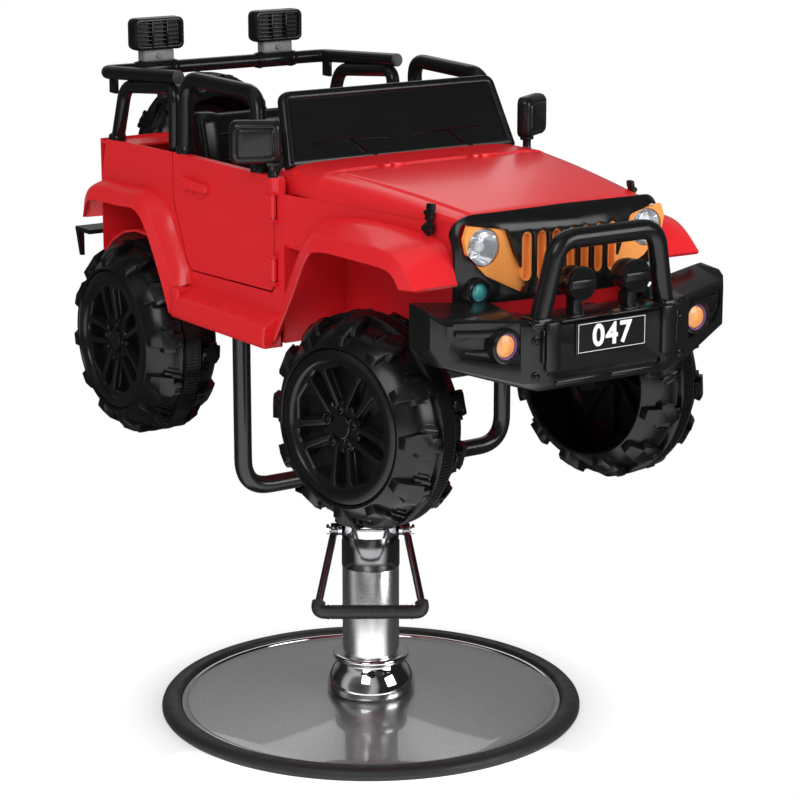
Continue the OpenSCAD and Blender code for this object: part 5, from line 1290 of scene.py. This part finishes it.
def addDrivingLamps():
    p = lamps
    r = p["driveR"]
    bowl = [(0.0001, -0.046), (0.01, -0.046), (0.017, -0.043), (0.022, -0.036), (0.0248, -0.024), (0.0255, -0.012),
            (0.0255, -0.006), (r, -0.005), (r, 0.0005), (0.025, 0.0022), (0.0232, 0.0022), (0.0226, 0.0008),
            (0.0001, 0.0012)]
    body = turned("driveBody", bowl, 56, axis="Y")
    grid = []
    for i in range(-4, 5):
        at = i * 0.005
        half = math.sqrt(max(0.0, 0.0228 ** 2 - at ** 2))
        grid.append(blockMesh("line", (-half, -0.003, at - 0.0007), (half, 0.0, at + 0.0007)))
        grid.append(blockMesh("line", (at - 0.0007, -0.003, -half), (at + 0.0007, 0.0, half)))
    grid.append(softBlock("bandAcross", (-0.0232, -0.0042, -0.006), (0.0232, 0.0, 0.006), 0.001))
    foot = softBlock("driveFoot", (-0.009, 0.01, -0.062), (0.009, 0.03, -0.018), 0.002)
    base = softBlock("driveBase", (-0.016, 0.006, -0.0545), (0.016, 0.034, -0.0495), 0.0015)
    nut = turned("driveNut", [(0.0001, 0.0), (0.005, 0.0), (0.005, 0.0035), (0.0001, 0.0035)], 6,
                 (0.013, 0.02, -0.0495))
    whole = joined("drivingLamp", [body, foot, base, nut] + grid)
    copies = [moved(whole, (s * p["driveX"], p["driveY"], p["driveZ"])) for s in (-1, 1)]
    addPiece("drivingLampShape", joined("drivingLampShape", copies), 38.0, "turn", ["driving_lamps"], blackMould)


addRoofLamps()
addDrivingLamps()
print("lamps made")


# Headlights and the small round lamps

front = {
    "lensX": 0.157, "lensZ": 0.924, "lensR": 0.029, "lensY": -0.545,
    "markerX": 0.166, "markerZ": 0.857, "markerR": 0.014, "markerY": -0.545,
    "fogX": 0.183, "fogY": -0.638, "fogZ": 0.793, "fogR": 0.02,
    "nose": 0.18, "maskLow": 0.838, "grilleTop": 0.975,
}
surroundShares = ((1.03, 0.88), (0.66, 0.8), (0.46, 0.17), (0.49, 0.08), (0.85, 0.31), (1.04, 0.57), (1.07, 0.74))


def surround(grow=0.0):
    low, tall = front["maskLow"], front["grilleTop"] - front["maskLow"]
    points = [(front["nose"] * a, low + tall * b) for a, b in surroundShares]
    centre = (front["lensX"] - front["lensR"], front["lensZ"] - front["lensR"])
    result = []
    for x, z in points:
        length = math.hypot(x - centre[0], z - centre[1])
        result.append((x + (x - centre[0]) / length * grow, z + (z - centre[1]) / length * grow))
    return result


def clippedCircle(centre, radius, outline):
    # circle kept inside a convex anticlockwise outline
    result = []
    steps = 56
    for angle in (fullTurn * k / steps for k in range(steps)):
        x, z = centre[0] + radius * math.cos(angle), centre[1] + radius * math.sin(angle)
        share = 1.0
        for (ax, az), (bx, bz) in zip(outline, outline[1:] + outline[:1]):
            inner, here = ((bx - ax) * (v - az) - (bz - az) * (u - ax) for u, v in (centre, (x, z)))
            if here < 0 < inner:
                share = min(share, inner / (inner - here))
        result.append((centre[0] + (x - centre[0]) * share, centre[1] + (z - centre[1]) * share))
    return result


def shrinkRing(points, centre, share, y):
    return [(centre[0] + (x - centre[0]) * share, y, centre[1] + (z - centre[1]) * share) for x, z in points]


def addHeadlights():
    p = front
    centre = (p["lensX"], p["lensZ"])
    outline = clippedCircle(centre, p["lensR"], surround(-0.0006))
    y = p["lensY"]
    lens = ((0.05, 0.0052), (0.3, 0.0049), (0.55, 0.004), (0.78, 0.0024), (0.92, 0.0008), (0.985, -0.0012),
            (0.99, -0.004), (0.95, -0.004), (0.9, -0.0022), (0.76, -0.0004), (0.54, 0.0014), (0.3, 0.0022),
            (0.05, 0.0026))
    lensMesh = loft("lens", [shrinkRing(outline, centre, share, y - out) for share, out in lens])
    bowl = ((1.0, 0.0015), (0.97, 0.0015), (0.9, 0.01), (0.78, 0.017), (0.6, 0.024), (0.42, 0.0285), (0.26, 0.031),
            (0.2, 0.0335), (0.24, 0.0335), (0.7, 0.0265), (0.96, 0.012), (1.0, 0.004))
    bowlRows = [shrinkRing(outline, centre, share, y + depth) for share, depth in bowl]
    bowlMesh = gridMesh("bowl", bowlRows, closeColumns=True, closeRows=True)
    bulb = [(0.0001, -0.03), (0.0055, -0.03), (0.0055, -0.02), (0.008, -0.0175), (0.0085, -0.012),
            (0.0062, -0.008), (0.0001, -0.0062)]
    ring = [(0.0105, -0.03), (0.0125, -0.03), (0.0125, -0.0215), (0.0112, -0.0205), (0.0105, -0.0215)]
    spot = (centre[0], y, centre[1])
    for name, meshes, nodes, material, slot in (
            ("headlightBowl", [bowlMesh, turned("ring", ring, 28, spot, "Y")], [], chrome, None),
            ("headlightBulb", [turned("bulb", bulb, 28, spot, "Y")], [], whitePrint, None),
            ("headlightLens", [lensMesh], ["headlights"], clearLens, "clear_lens")):
        addPiece(name, bothSides(name, meshes), 50.0, "turn", nodes, material)


def addSmallLamps():
    p = front

    def lens(r):
        return [(0.0001, -0.02), (r - 0.0006, -0.02), (r - 0.0006, -0.0015), (r * 0.93, 0.0008), (r * 0.7, 0.0026),
                (r * 0.35, 0.0036), (0.0001, 0.004)]

    def rim(r):
        return [(r - 0.0022, -0.004), (r + 0.0003, -0.004), (r + 0.0003, 0.0012), (r - 0.0004, 0.0024),
                (r - 0.0016, 0.0022), (r - 0.0022, 0.0008)]

    for name, outline, spot, sink, nodes, material in (
            ("markerLens", lens(p["markerR"] - 0.0014), "marker", 0.001, [], tealLens),
            ("fogLens", lens(p["fogR"] - 0.0018), "fog", 0.002, ["small_lamps"], yellowLens),
            ("fogRim", rim(p["fogR"]), "fog", 0.001, [], purpleRim),
            ("markerRim", rim(p["markerR"]), "marker", 0.0, [], tealRim)):
        mesh = turned(name, outline, 44, (p[spot + "X"], p[spot + "Y"] + sink, p[spot + "Z"]), "Y")
        addPiece(name, bothSides(name, [mesh]), 50.0, "turn", nodes, material)


addHeadlights()
addSmallLamps()
print("headlights made")


# Front bumper, mask and number plate

def cutOut(item, cutters):
    for mesh in cutters:
        cutter = linkMesh("cutter", mesh)
        cut = item.modifiers.new("cut", "BOOLEAN")
        cut.operation = "DIFFERENCE"
        cut.solver = "EXACT"
        cut.object = cutter
        bake(item)
        bpy.data.objects.remove(cutter)


bumper = {"wingA": (0.1585, -0.6476), "wingB": (0.2689, -0.6029), "depth": 0.005}


def wingPlace(share, z, out):
    # point on the near-flat face of a bumper wing
    (ax, ay), (bx, by) = bumper["wingA"], bumper["wingB"]
    way = Vector((bx - ax, by - ay, 0)).normalized()
    face = Vector((way.y, -way.x, 0))
    spot = Vector((ax + (bx - ax) * share, ay + (by - ay) * share, z))
    return spot + face * out


def wingPrism(points, low, high):
    rows = [[tuple(wingPlace(u, z, h)) for u, z in points] for h in (low, high)]
    return loft("wingPrism", rows)


def addBumper():
    item = linkMesh("bumperShape", cadMesh("front_bumper"))
    panel = wingPrism([(0.03, 0.762), (0.78, 0.777), (0.93, 0.798), (0.93, 0.822), (0.88, 0.829), (0.06, 0.829),
                       (0.03, 0.824)], -bumper["depth"], 0.02)
    slot = blockMesh("slot", (-0.1, -0.67, 0.736), (0.1, -0.6485, 0.744))
    cutOut(item, [panel, mirrored(panel), slot])
    bevelled(item, 0.0028, 3, 24.0)
    upper = [(0.3, 0.806), (0.86, 0.809), (0.86, 0.8175), (0.3, 0.8175)]
    lower = [(0.42, 0.777), (0.74, 0.784), (0.74, 0.7885), (0.42, 0.7885)]
    bar = bevelMesh(wingPrism(upper, -0.007, 0.0005), 0.0016, 3)
    barLow = bevelMesh(wingPrism(lower, -0.007, -0.0012), 0.001)
    bezel = [(0.0202, -0.014), (0.0202, 0.004), (0.0212, 0.0055), (0.024, 0.0055), (0.0262, 0.0035),
             (0.027, -0.004), (0.027, -0.014)]
    bezel = turned("fogBezel", bezel, 48, (front["fogX"], front["fogY"], front["fogZ"]), "Y")
    tab = softBlock("tab", (0.098, -0.6625, 0.75), (0.124, -0.648, 0.826), 0.004, 3)
    shelf = softBlock("shelf", (0.098, -0.655, 0.815), (0.146, -0.608, 0.8265), 0.004, 3)
    notch = softBlock("notch", (0.126, -0.659, 0.764), (0.13, -0.652, 0.814), 0.0012)
    extra = [bar, barLow, bezel, tab, shelf, notch]
    stud = [(0.0001, 0.0), (0.0045, 0.0), (0.0045, 0.003), (0.0036, 0.0042), (0.0001, 0.0046)]
    ring = [(0.0052, 0.0), (0.0064, 0.0), (0.0064, 0.0014), (0.0052, 0.0018)]
    for z in (0.744, 0.7985):
        spot = (0.1385, -0.6535, z)
        extra += [turned("stud", stud, 6, spot, "Y"), turned("studRing", ring, 24, spot, "Y")]
    lip = softBlock("lip", (0.0, -0.66, 0.727), (0.105, -0.648, 0.734), 0.002)
    seam = softBlock("seam", (0.0, -0.658, 0.8215), (0.094, -0.644, 0.8245), 0.001)
    extra += [lip, seam]
    item.data = joined("bumperShape", [item.data] + extra + [mirrored(m) for m in extra])
    smoothMesh(item.data, 38.0)
    finishPiece(item, "turn", ["front_bumper"], blackMould)


mask = {
    "half": 0.199, "y": -0.56, "sweep": 0.03, "top": 0.975, "low": 0.838, "thick": 0.007, "corner": 0.036,
    "brow": 0.026, "stations": (0, 0.35, 0.65, 0.88, 1), "backs": (0, 0.08, 0.28, 0.68, 1),
    "slotLow": 0.866, "slotTop": 0.942, "slotHalf": 0.0112, "pitch": 0.0273, "slots": 7,
}


def slotPrism(x):
    # slot with round ends, cut through the mask
    r = mask["slotHalf"]
    points = []
    for z, first in ((mask["slotTop"] - r + 0.0015, 0), (mask["slotLow"] + r - 0.0015, 180)):
        angles = [math.radians(a) for a in range(first, first + 181, 15)]
        points += [(x + r * math.cos(a), z + r * math.sin(a)) for a in angles]
    return loft("slotPrism", [[(a, y, b) for a, b in points] for y in (-0.6, -0.5)])


def addMask():
    p = mask
    rows = []
    count = 56
    for i in range(count + 1):
        share = math.sin(math.pi / 2 * (2.0 * i / count - 1.0))
        x = p["half"] * share
        s = abs(share)
        back = p["sweep"] * alongTable(p["stations"], p["backs"], s)
        y = p["y"] + back
        into = max(0.0, s * p["half"] - (p["half"] - p["corner"])) / p["corner"]
        top = p["top"] - back / 8 - 0.03 * (1.0 - math.sqrt(max(0.0, 1.0 - into * into)))
        deep = p["brow"] * (1.0 - 0.6 * s)
        outer = [(y + deep, top), (y + deep * 0.62, top - 0.006), (y + deep * 0.3, top - 0.0145),
                 (y + deep * 0.08, top - 0.024), (y, top - 0.033), (y, 0.9), (y, p["low"] + 0.003),
                 (y + 0.0012, p["low"] + 0.0006), (y + 0.003, p["low"])]
        inner = [(a + p["thick"], b - (0.0015 if k < 3 else 0.0)) for k, (a, b) in enumerate(outer)]
        rows.append([(x, a, b) for a, b in outer + inner[::-1]])
    item = linkMesh("maskShape", loft("maskShape", rows))
    cuts = [slotPrism((i - 3) * p["pitch"]) for i in range(p["slots"])]
    rim = roundOutline(surround(0.0015), 0.006, 4)
    eye = loft("eye", [[(a, y, b) for a, b in rim] for y in (-0.6, -0.49)])
    marker = (front["markerX"], front["markerY"], front["markerZ"])
    hole = turned("hole", [(0.0001, -0.05), (0.0156, -0.05), (0.0156, 0.05), (0.0001, 0.05)], 40, marker, "Y")
    cutOut(item, cuts + [eye, mirrored(eye), hole, mirrored(hole)])
    bevelled(item, 0.0016, 3, 40.0)
    bezel = [(0.0144, -0.012), (0.0144, 0.003), (0.0156, 0.0052), (0.0182, 0.0056), (0.0205, 0.0036),
             (0.0222, -0.002), (0.0226, -0.012)]
    bezel = turned("markerBezel", bezel, 48, marker, "Y")
    item.data = joined("maskShape", [item.data, bezel, mirrored(bezel)])
    smoothMesh(item.data, 38.0)
    finishPiece(item, "turn", ["grille_mask"], blackMould)


latch = {"x": 0.1955, "y": -0.4595, "low": 0.936, "slope": 9.9, "lean": 7.0}


def addLatches():
    p = latch
    meshes = [
        softBlock("latchFoot", (-0.001, -0.0095, 0.0), (0.0065, 0.0095, 0.0165), 0.0022, 3),
        softBlock("latchStrap", (0.0015, -0.0052, 0.004), (0.0055, 0.0052, 0.0425), 0.0012),
        softBlock("latchHead", (-0.001, -0.008, 0.0345), (0.007, 0.008, 0.0465), 0.0026, 3),
        softBlock("latchMiddle", (0.0015, -0.0078, 0.02), (0.0078, 0.0078, 0.0285), 0.002),
        softBlock("latchTip", (0.002, -0.004, -0.0045), (0.006, 0.004, 0.003), 0.0014),
    ]
    for z, r, half in ((0.008, 0.0052, 0.0104), (0.0318, 0.0044, 0.0092)):
        pin = [(0.0001, -half), (r - 0.0008, -half), (r, -half + 0.0008), (r, half - 0.0008), (r - 0.0008, half),
               (0.0001, half)]
        meshes.append(turned("latchPin", pin, 20, (0.0054, 0, z), "Y"))
    for y in (-0.0028, 0.0028):
        meshes.append(softBlock("latchRib", (0.005, y - 0.0008, 0.0115), (0.0068, y + 0.0008, 0.0185), 0.0004, 1))
    whole = joined("latch", meshes)
    slope, lean = (Matrix.Rotation(math.radians(-p[key]), 4, axis) for key, axis in (("slope", "Z"), ("lean", "Y")))
    whole.transform(Matrix.Translation((p["x"], p["y"], p["low"])) @ slope @ lean)
    addPiece("latchShape", bothSides("latchShape", [whole]), 40.0, "turn", ["hood_latches"], blackMould)


plateSigns = {
    "text": "047", "size": 0.046, "z": 0.793, "y": -0.6592, "half": 0.067, "tall": 0.025, "line": 0.0008,
}


def addPlate():
    p = plateSigns
    outline = roundRectangle(p["half"], p["tall"], 0.003, 4)
    layers = [(0.0, -0.655), (0.0, -0.6578), (0.001, -0.6588)]
    panel = stackMesh("plate", outline, layers, lambda x, y, z: (x, z, p["z"] + y))
    addPiece("numberPlateShape", panel, 30.0, "turn", ["number_plate"], blackGloss)
    frameOut = insetOutline(outline, 0.003)
    frameIn = insetOutline(outline, 0.003 + p["line"])
    rows = []
    for points, y in ((frameIn, -0.6586), (frameOut, -0.6586), (frameOut, -0.65905), (frameIn, -0.65905)):
        rows.append([(a, y, p["z"] + b) for a, b in points])
    lines = gridMesh("plateLine", rows, closeRows=True, closeColumns=True)
    curve = bpy.data.curves.new("digits", "FONT")
    curve.body = p["text"]
    curve.size = p["size"]
    curve.align_x = "CENTER"
    curve.align_y = "CENTER"
    curve.extrude = 0.0004
    curve.offset = 0.0012
    curve.space_character = 1.12
    text = bpy.data.objects.new("digits", curve)
    scene.collection.objects.link(text)
    bpy.context.view_layer.update()
    mesh = bpy.data.meshes.new_from_object(text.evaluated_get(bpy.context.evaluated_depsgraph_get()))
    bpy.data.objects.remove(text)
    mesh.transform(Matrix.Translation((0, p["y"] + 0.0004, p["z"])) @ Matrix.Rotation(math.radians(90.0), 4, "X"))
    item = linkMesh("plateDigits", joined("plateDigits", [mesh, lines]))
    item.data.materials.clear()
    finishPiece(item, "turn", [], whitePrint)


addBumper()
addMask()
addLatches()
addPlate()
print("front made")


# Mirrors

mirror = {
    "x": 0.255, "y": -0.103, "sweep": 30.0, "half": 0.042, "tall": 0.035, "inner": 0.015,
    "low": 1.003, "stem": 0.981,
}


def mirrorMesh():
    p = mirror

    def upright(x, y, z):
        return x + p["half"] - p["inner"], z, p["low"] + p["tall"] + y

    layers = [(0.006, 0.01), (0.004, 0.013), (0.001, 0.0125), (0.0, 0.009), (0.0, 0.001), (0.0014, -0.005),
              (0.005, -0.009), (0.0085, -0.01), (0.0098, -0.009), (0.011, -0.0088), (0.013, -0.011),
              (0.016, -0.0124), (0.02, -0.013)]
    shell = stackRect("mirrorShell", p["half"], p["tall"], 0.013, layers, upright)
    post = [(0.0001, 0.0), (0.0085, 0.0), (0.0085, 0.003), (0.007, 0.006), (0.007, 0.02), (0.0095, 0.0235),
            (0.0001, 0.024)]
    stem = turned("stem", post, 28, (0, 0, p["stem"]))
    knuckle = softBlock("knuckle", (-0.011, -0.009, 0.9995), (0.011, 0.009, 1.006), 0.0025, 3)
    layers = [(0.0062, 0.0098), (0.0062, 0.0108), (0.0068, 0.011)]
    face = stackRect("mirrorFace", p["half"], p["tall"], 0.013, layers, upright)
    turn = Matrix.Translation((p["x"], p["y"], 0)) @ Matrix.Rotation(math.radians(p["sweep"]), 4, "Z")
    cover = joined("mirrorCover", [shell, stem, knuckle])
    return place(cover, turn), place(face, turn)


def addMirrors():
    cover, face = mirrorMesh()
    for sideName, a, b in (("left", cover, face), ("right", mirrored(cover), mirrored(face))):
        body = sideName + "_mirror"
        addPiece("mirrorFace_" + sideName, b, 40.0, body, [], mirrorFace)
        addPiece("mirrorCover_" + sideName, a, 40.0, body, ["mirror_" + sideName], blackMould)


addMirrors()
print("mirrors made")


# Seat and steering wheel

seat = {
    "half": 0.15, "frontY": 0.06, "backY": 0.352, "low": 0.716, "cushion": 0.838, "top": 1.028,
}


def addSeat():
    p = seat
    deep = p["backY"] - p["frontY"]
    f = p["frontY"]
    soft, top = p["cushion"], p["top"]
    side = [(f, p["low"]), (f + 0.004, soft - 0.012), (f + 0.016, soft), (f + deep * 0.3, soft - 0.006),
            (f + deep * 0.66, soft - 0.01), (f + deep * 0.74, soft + 0.02), (f + deep * 0.86, top - 0.012),
            (f + deep * 0.9, top), (f + deep * 0.98, top), (f + deep, top - 0.01), (f + deep * 0.98, p["low"])]
    # the outline runs round so that insets go inward
    outline = roundOutline(side[::-1], 0.016, 4)
    area = sum(outline[i - 1][0] * outline[i][1] - outline[i][0] * outline[i - 1][1] for i in range(len(outline)))
    if area < 0:
        outline.reverse()
    half = [(0.01, 0.15), (0.005, 0.1485), (0.0016, 0.145), (0.0, 0.139), (0.0, 0.12), (0.0016, 0.112),
            (0.0042, 0.104), (0.005, 0.05)]
    layers = [(inset, -x) for inset, x in half] + half[::-1]
    mesh = stackMesh("seatShape", outline, layers, lambda y, z, x: (x, y, z))
    ribs = []
    for z in (0.9, 0.945, 0.99):
        share = (z - (soft + 0.02)) / (top - 0.012 - soft - 0.02)
        y = f + deep * (0.74 + 0.12 * share) + 0.0052
        path = roundPath([(x, y, z) for x in (-0.118, -0.098, 0.098, 0.118)], 0.004, 3)
        ribs.append(roundBar("seatRib", path, 0.0034, 10))
    y = f + deep * 0.99
    for z in (0.86, 0.93, 0.995):
        ribs.append(roundBar("backRib", [(-0.138, y, z), (0, y + 0.0005, z), (0.138, y, z)], 0.0042, 10))
    for y in (0.11, 0.16, 0.21):
        ribs.append(roundBar("cushionRib", [(-0.1, y, soft - 0.0125), (0.1, y, soft - 0.0125)], 0.0036, 10))
    addPiece("seatShape", joined("seatShape", [mesh] + ribs), 40.0, "turn", ["seat"], blackMould)


def addSteeringWheel():
    turn = Matrix.Translation((0, 0.002, 0.968)) @ Matrix.Rotation(math.radians(-62.0), 4, "X")
    r, t = 0.084, 0.008

    def arc(degrees):
        return [(r * math.cos(math.radians(a)), r * math.sin(math.radians(a)), 0) for a in degrees]

    meshes = [roundBar("ring", arc(range(0, 360, 5)), t, 16, closed=True)]
    for a in (90, 210, 330):
        spoke = softBlock("spoke", (0.012, -0.0085, -0.005), (r, 0.0085, 0.0045), 0.0022, 3)
        spoke.transform(Matrix.Rotation(math.radians(a), 4, "Z"))
        meshes.append(spoke)
        meshes.append(roundBar("grip", arc(range(a - 16, a + 17, 4)), t + 0.001, 16))
    boss = [(0.0092, -0.01), (0.02, -0.01), (0.024, -0.006), (0.024, 0.004), (0.0215, 0.008), (0.016, 0.01),
            (0.015, 0.0092), (0.0001, 0.0096), (0.0001, 0.006), (0.0092, 0.005)]
    meshes.append(turned("boss", boss, 40))
    mesh = place(joined("steeringWheelShape", meshes), turn)
    addPiece("steeringWheelShape", mesh, 40.0, "steering", ["steering_wheel"], blackMould)


addSeat()
addSteeringWheel()
print("seat and steering wheel made")


# Base and pump

base = {
    "plateR": 0.338, "plateEdge": 0.011, "plateTop": 0.026, "ringR": 0.371, "ringH": 0.02,
    "bellR": 0.078, "columnR": 0.05, "collarZ": 0.086, "collarR": 0.067, "collarT": 0.012,
}


def addBase():
    p = base
    plateR, ringR, h, low, high = p["plateR"], p["ringR"], p["ringH"], p["plateTop"], p["collarZ"]
    rimIn = plateR - 0.011
    slope = (low - p["plateEdge"]) / (plateR - p["bellR"])

    def at(r):
        return p["plateEdge"] + (plateR - r) * slope

    edge = at(rimIn)
    plate = [(rimIn + 0.0005, 0.003), (rimIn + 0.0005, edge - 0.0015), (rimIn - 0.001, edge - 0.0003),
             (rimIn - 0.004, at(rimIn - 0.004))]
    plate += [(r, at(r)) for r in (0.3, 0.25, 0.2, 0.15, 0.11)]
    plate += [(p["bellR"], low), (0.04, low), (0.04, 0.02), (0.3, 0.003)]
    rim = [(rimIn - 0.0002, 0.0), (rimIn - 0.0002, edge - 0.0016), (rimIn + 0.001, edge + 0.0012),
           (rimIn + 0.0035, edge + 0.0026), (rimIn + 0.0065, edge + 0.0026), (plateR - 0.0015, edge + 0.0014),
           (plateR, p["plateEdge"]), (plateR, 0.0)]
    ring = [(plateR, 0.0), (plateR, h - 0.007), (plateR + 0.0015, h - 0.003), (plateR + 0.005, h - 0.0008),
            (plateR + 0.01, h), (ringR - 0.012, h - 0.0006), (ringR - 0.0055, h - 0.0032),
            (ringR - 0.0018, h - 0.0075), (ringR, h - 0.0125), (ringR, 0.003), (ringR - 0.002, 0.0)]
    column = [(0.046, 0.026), (0.05, 0.026), (0.05, 0.2565), (0.0495, 0.2572), (0.046, 0.2572)]
    sleeve = [(0.046, 0.258), (0.0505, 0.258), (0.051, 0.2586), (0.051, 0.317), (0.0502, 0.318), (0.046, 0.318)]
    # bell and collar round the column's foot
    c = p["columnR"] + 0.0002
    shares = [(0.8, 0), (0.97, 0.07), (1, 0.16), (0.98, 0.28), (0.86, 0.5), (0.62, 0.72), (0.38, 0.88), (0.24, 1)]
    run, rise = p["bellR"] - p["columnR"], high - low
    bell = [(p["columnR"] + run * a, low + rise * b) for a, b in smoothLine(shares, 5)]
    r, t = p["collarR"], high + p["collarT"]
    collar = [(c, high), (r - 0.003, high), (r - 0.0008, high + 0.0012), (r, high + 0.0035), (r, t - 0.004),
              (r - 0.0008, t - 0.0016), (r - 0.003, t - 0.0002), (r - 0.006, t), (c + 0.002, t), (c, t - 0.001)]
    for name, outlines, steps, angle, nodes, material, slot in (
            ("basePlateShape", [plate], 160, 30.0, [], plateMetal, "satin_steel"),
            ("baseRimShape", [rim], 160, 50.0, ["base_plate"], chrome, "satin_steel"),
            ("baseRingShape", [ring], 160, 50.0, ["base_ring"], rubber, "black_rubber"),
            ("baseNeckShape", [bell + [(c, high), (c, low)], collar], 96, 46.0, ["base_neck"], chrome, "chrome"),
            ("columnShape", [column], 112, 40.0, ["pump_column"], satin, "chrome"),
            ("sleeveShape", [sleeve], 112, 40.0, ["pump_sleeve"], darkSteel, "chrome")):
        mesh = joined(name, [turned(name, outline, steps) for outline in outlines])
        addPiece(name, mesh, angle, "base", nodes, material)


pedal = {
    "turn": -34.0, "bend": 0.015, "climb": 0.019, "topX": 0.062, "lowX": 0.091, "pivotY": 0.048, "pivotZ": 0.336,
    "gripY": 0.158, "gripZ": 0.222, "rodR": 0.0065, "barR": 0.007, "gripR": 0.0125, "ribs": 26, "ribRun": 0.132,
}


def addPedal():
    p = pedal
    r, x, y, z = p["gripR"], p["lowX"], -p["gripY"], p["gripZ"]
    eye = [(0.00505, -0.0065), (0.0102, -0.0065), (0.011, -0.0055), (0.011, 0.0055), (0.0102, 0.0065),
           (0.00505, 0.0065)]
    meshes = []
    for s in (-1, 1):
        high, low = Vector((s * p["topX"], -p["pivotY"], p["pivotZ"])), Vector((s * x, y, z))
        meshes.append(roundBar("rod", [tuple(high.lerp(low, t / 10)) for t in range(11)], p["rodR"], 28))
        meshes.append(turned("eye", eye, 32, tuple(high), "X"))
    inner = x - 0.012
    meshes.append(roundBar("bar", [(-inner, y, z), (inner, y, z)], p["barR"], 24))
    # a soft tube follows the bent rod round both corners
    way = (Vector((p["topX"], -p["pivotY"], p["pivotZ"])) - Vector((x, y, z))).normalized() * p["climb"]
    path = roundPath([(-x - way.x, y + way.y, z + way.z), (-x, y, z), (x, y, z), (x + way.x, y + way.y, z + way.z)],
                     p["bend"], 10)
    rubberParts = [roundBar("gripTube", [tuple(q) for q in path], r * 0.94, 32)]
    for i in range(p["ribs"]):
        a = p["ribRun"] * ((i + 0.5) / p["ribs"] - 0.5)
        rib = [(a - 0.0015, r * 0.8), (a - 0.0011, r * 1.0), (a + 0.0011, r * 1.0), (a + 0.0015, r * 0.8)]
        rubberParts.append(moved(spun("gripRib", rib, 32), (0, y, z)))
    cuff = [(0.069, r * 0.8), (0.0695, r * 1.02), (0.0725, r * 1.02), (0.0732, r * 0.8)]
    for s in (-1, 1):
        band = spun("gripCuff", cuff, 32)
        band.transform(Matrix.Translation((0, y, z)) @ Matrix.Scale(s, 4, (1, 0, 0)))
        rubberParts.append(band)
    turn = Matrix.Rotation(math.radians(p["turn"]), 4, "Z")
    for name, parts, node, material, slot in (
            ("pedalBarShape", meshes, "pedal_bar", darkSteel, "chrome"),
            ("pedalGripShape", rubberParts, "pedal_grip", gripRubber, "black_rubber")):
        addPiece(name, place(joined(name, parts), turn), 46.0, "pedal", [node], material)


addBase()
addPedal()
print("base and pedal made")


# Pieces that keep their CAD form, with moulded edges

carried = {
    "pump_head": (chrome, 0.0012),
    "pedal_pins": (satin, 0.0006),
    "turn_plate": (blackPaint, 0.0012),
    "cross_beam": (blackPaint, 0.0012),
    "frame_bolts": (satin, 0.0006),
    "knuckle_right": (blackPaint, 0.001),
    "knuckle_left": (blackPaint, 0.001),
    "tie_rod": (blackPaint, 0.0008),
    "front_axle": (blackPaint, 0.001),
    "rear_axle": (blackPaint, 0.001),
    "spare_carrier": (blackPaint, 0.001),
    "body_shell": (red, 0.0016),
    "door_right": (red, 0.0022),
    "door_left": (red, 0.0022),
    "grille_insert": (orange, 0.001),
    "dashboard": (blackMould, 0.006),
    "steering_column": (blackMould, 0.001),
    "rear_bumper": (blackMould, 0.0025),
}


def addCarried():
    for node, (material, width) in carried.items():
        roundedCopy(node, material, width)
    # plain pieces inside the pump and the hinges only get their metal
    for node, material in (("pump_cylinder", satin), ("lift_ram", chrome), ("thrust_washer", bronze),
                           ("door_pins", satin)):
        data = frame["nodes"][node]
        for spot in data.material_slots:
            spot.material = material
        if not data.material_slots:
            data.data.materials.append(material)


addCarried()
print("carried pieces finished")
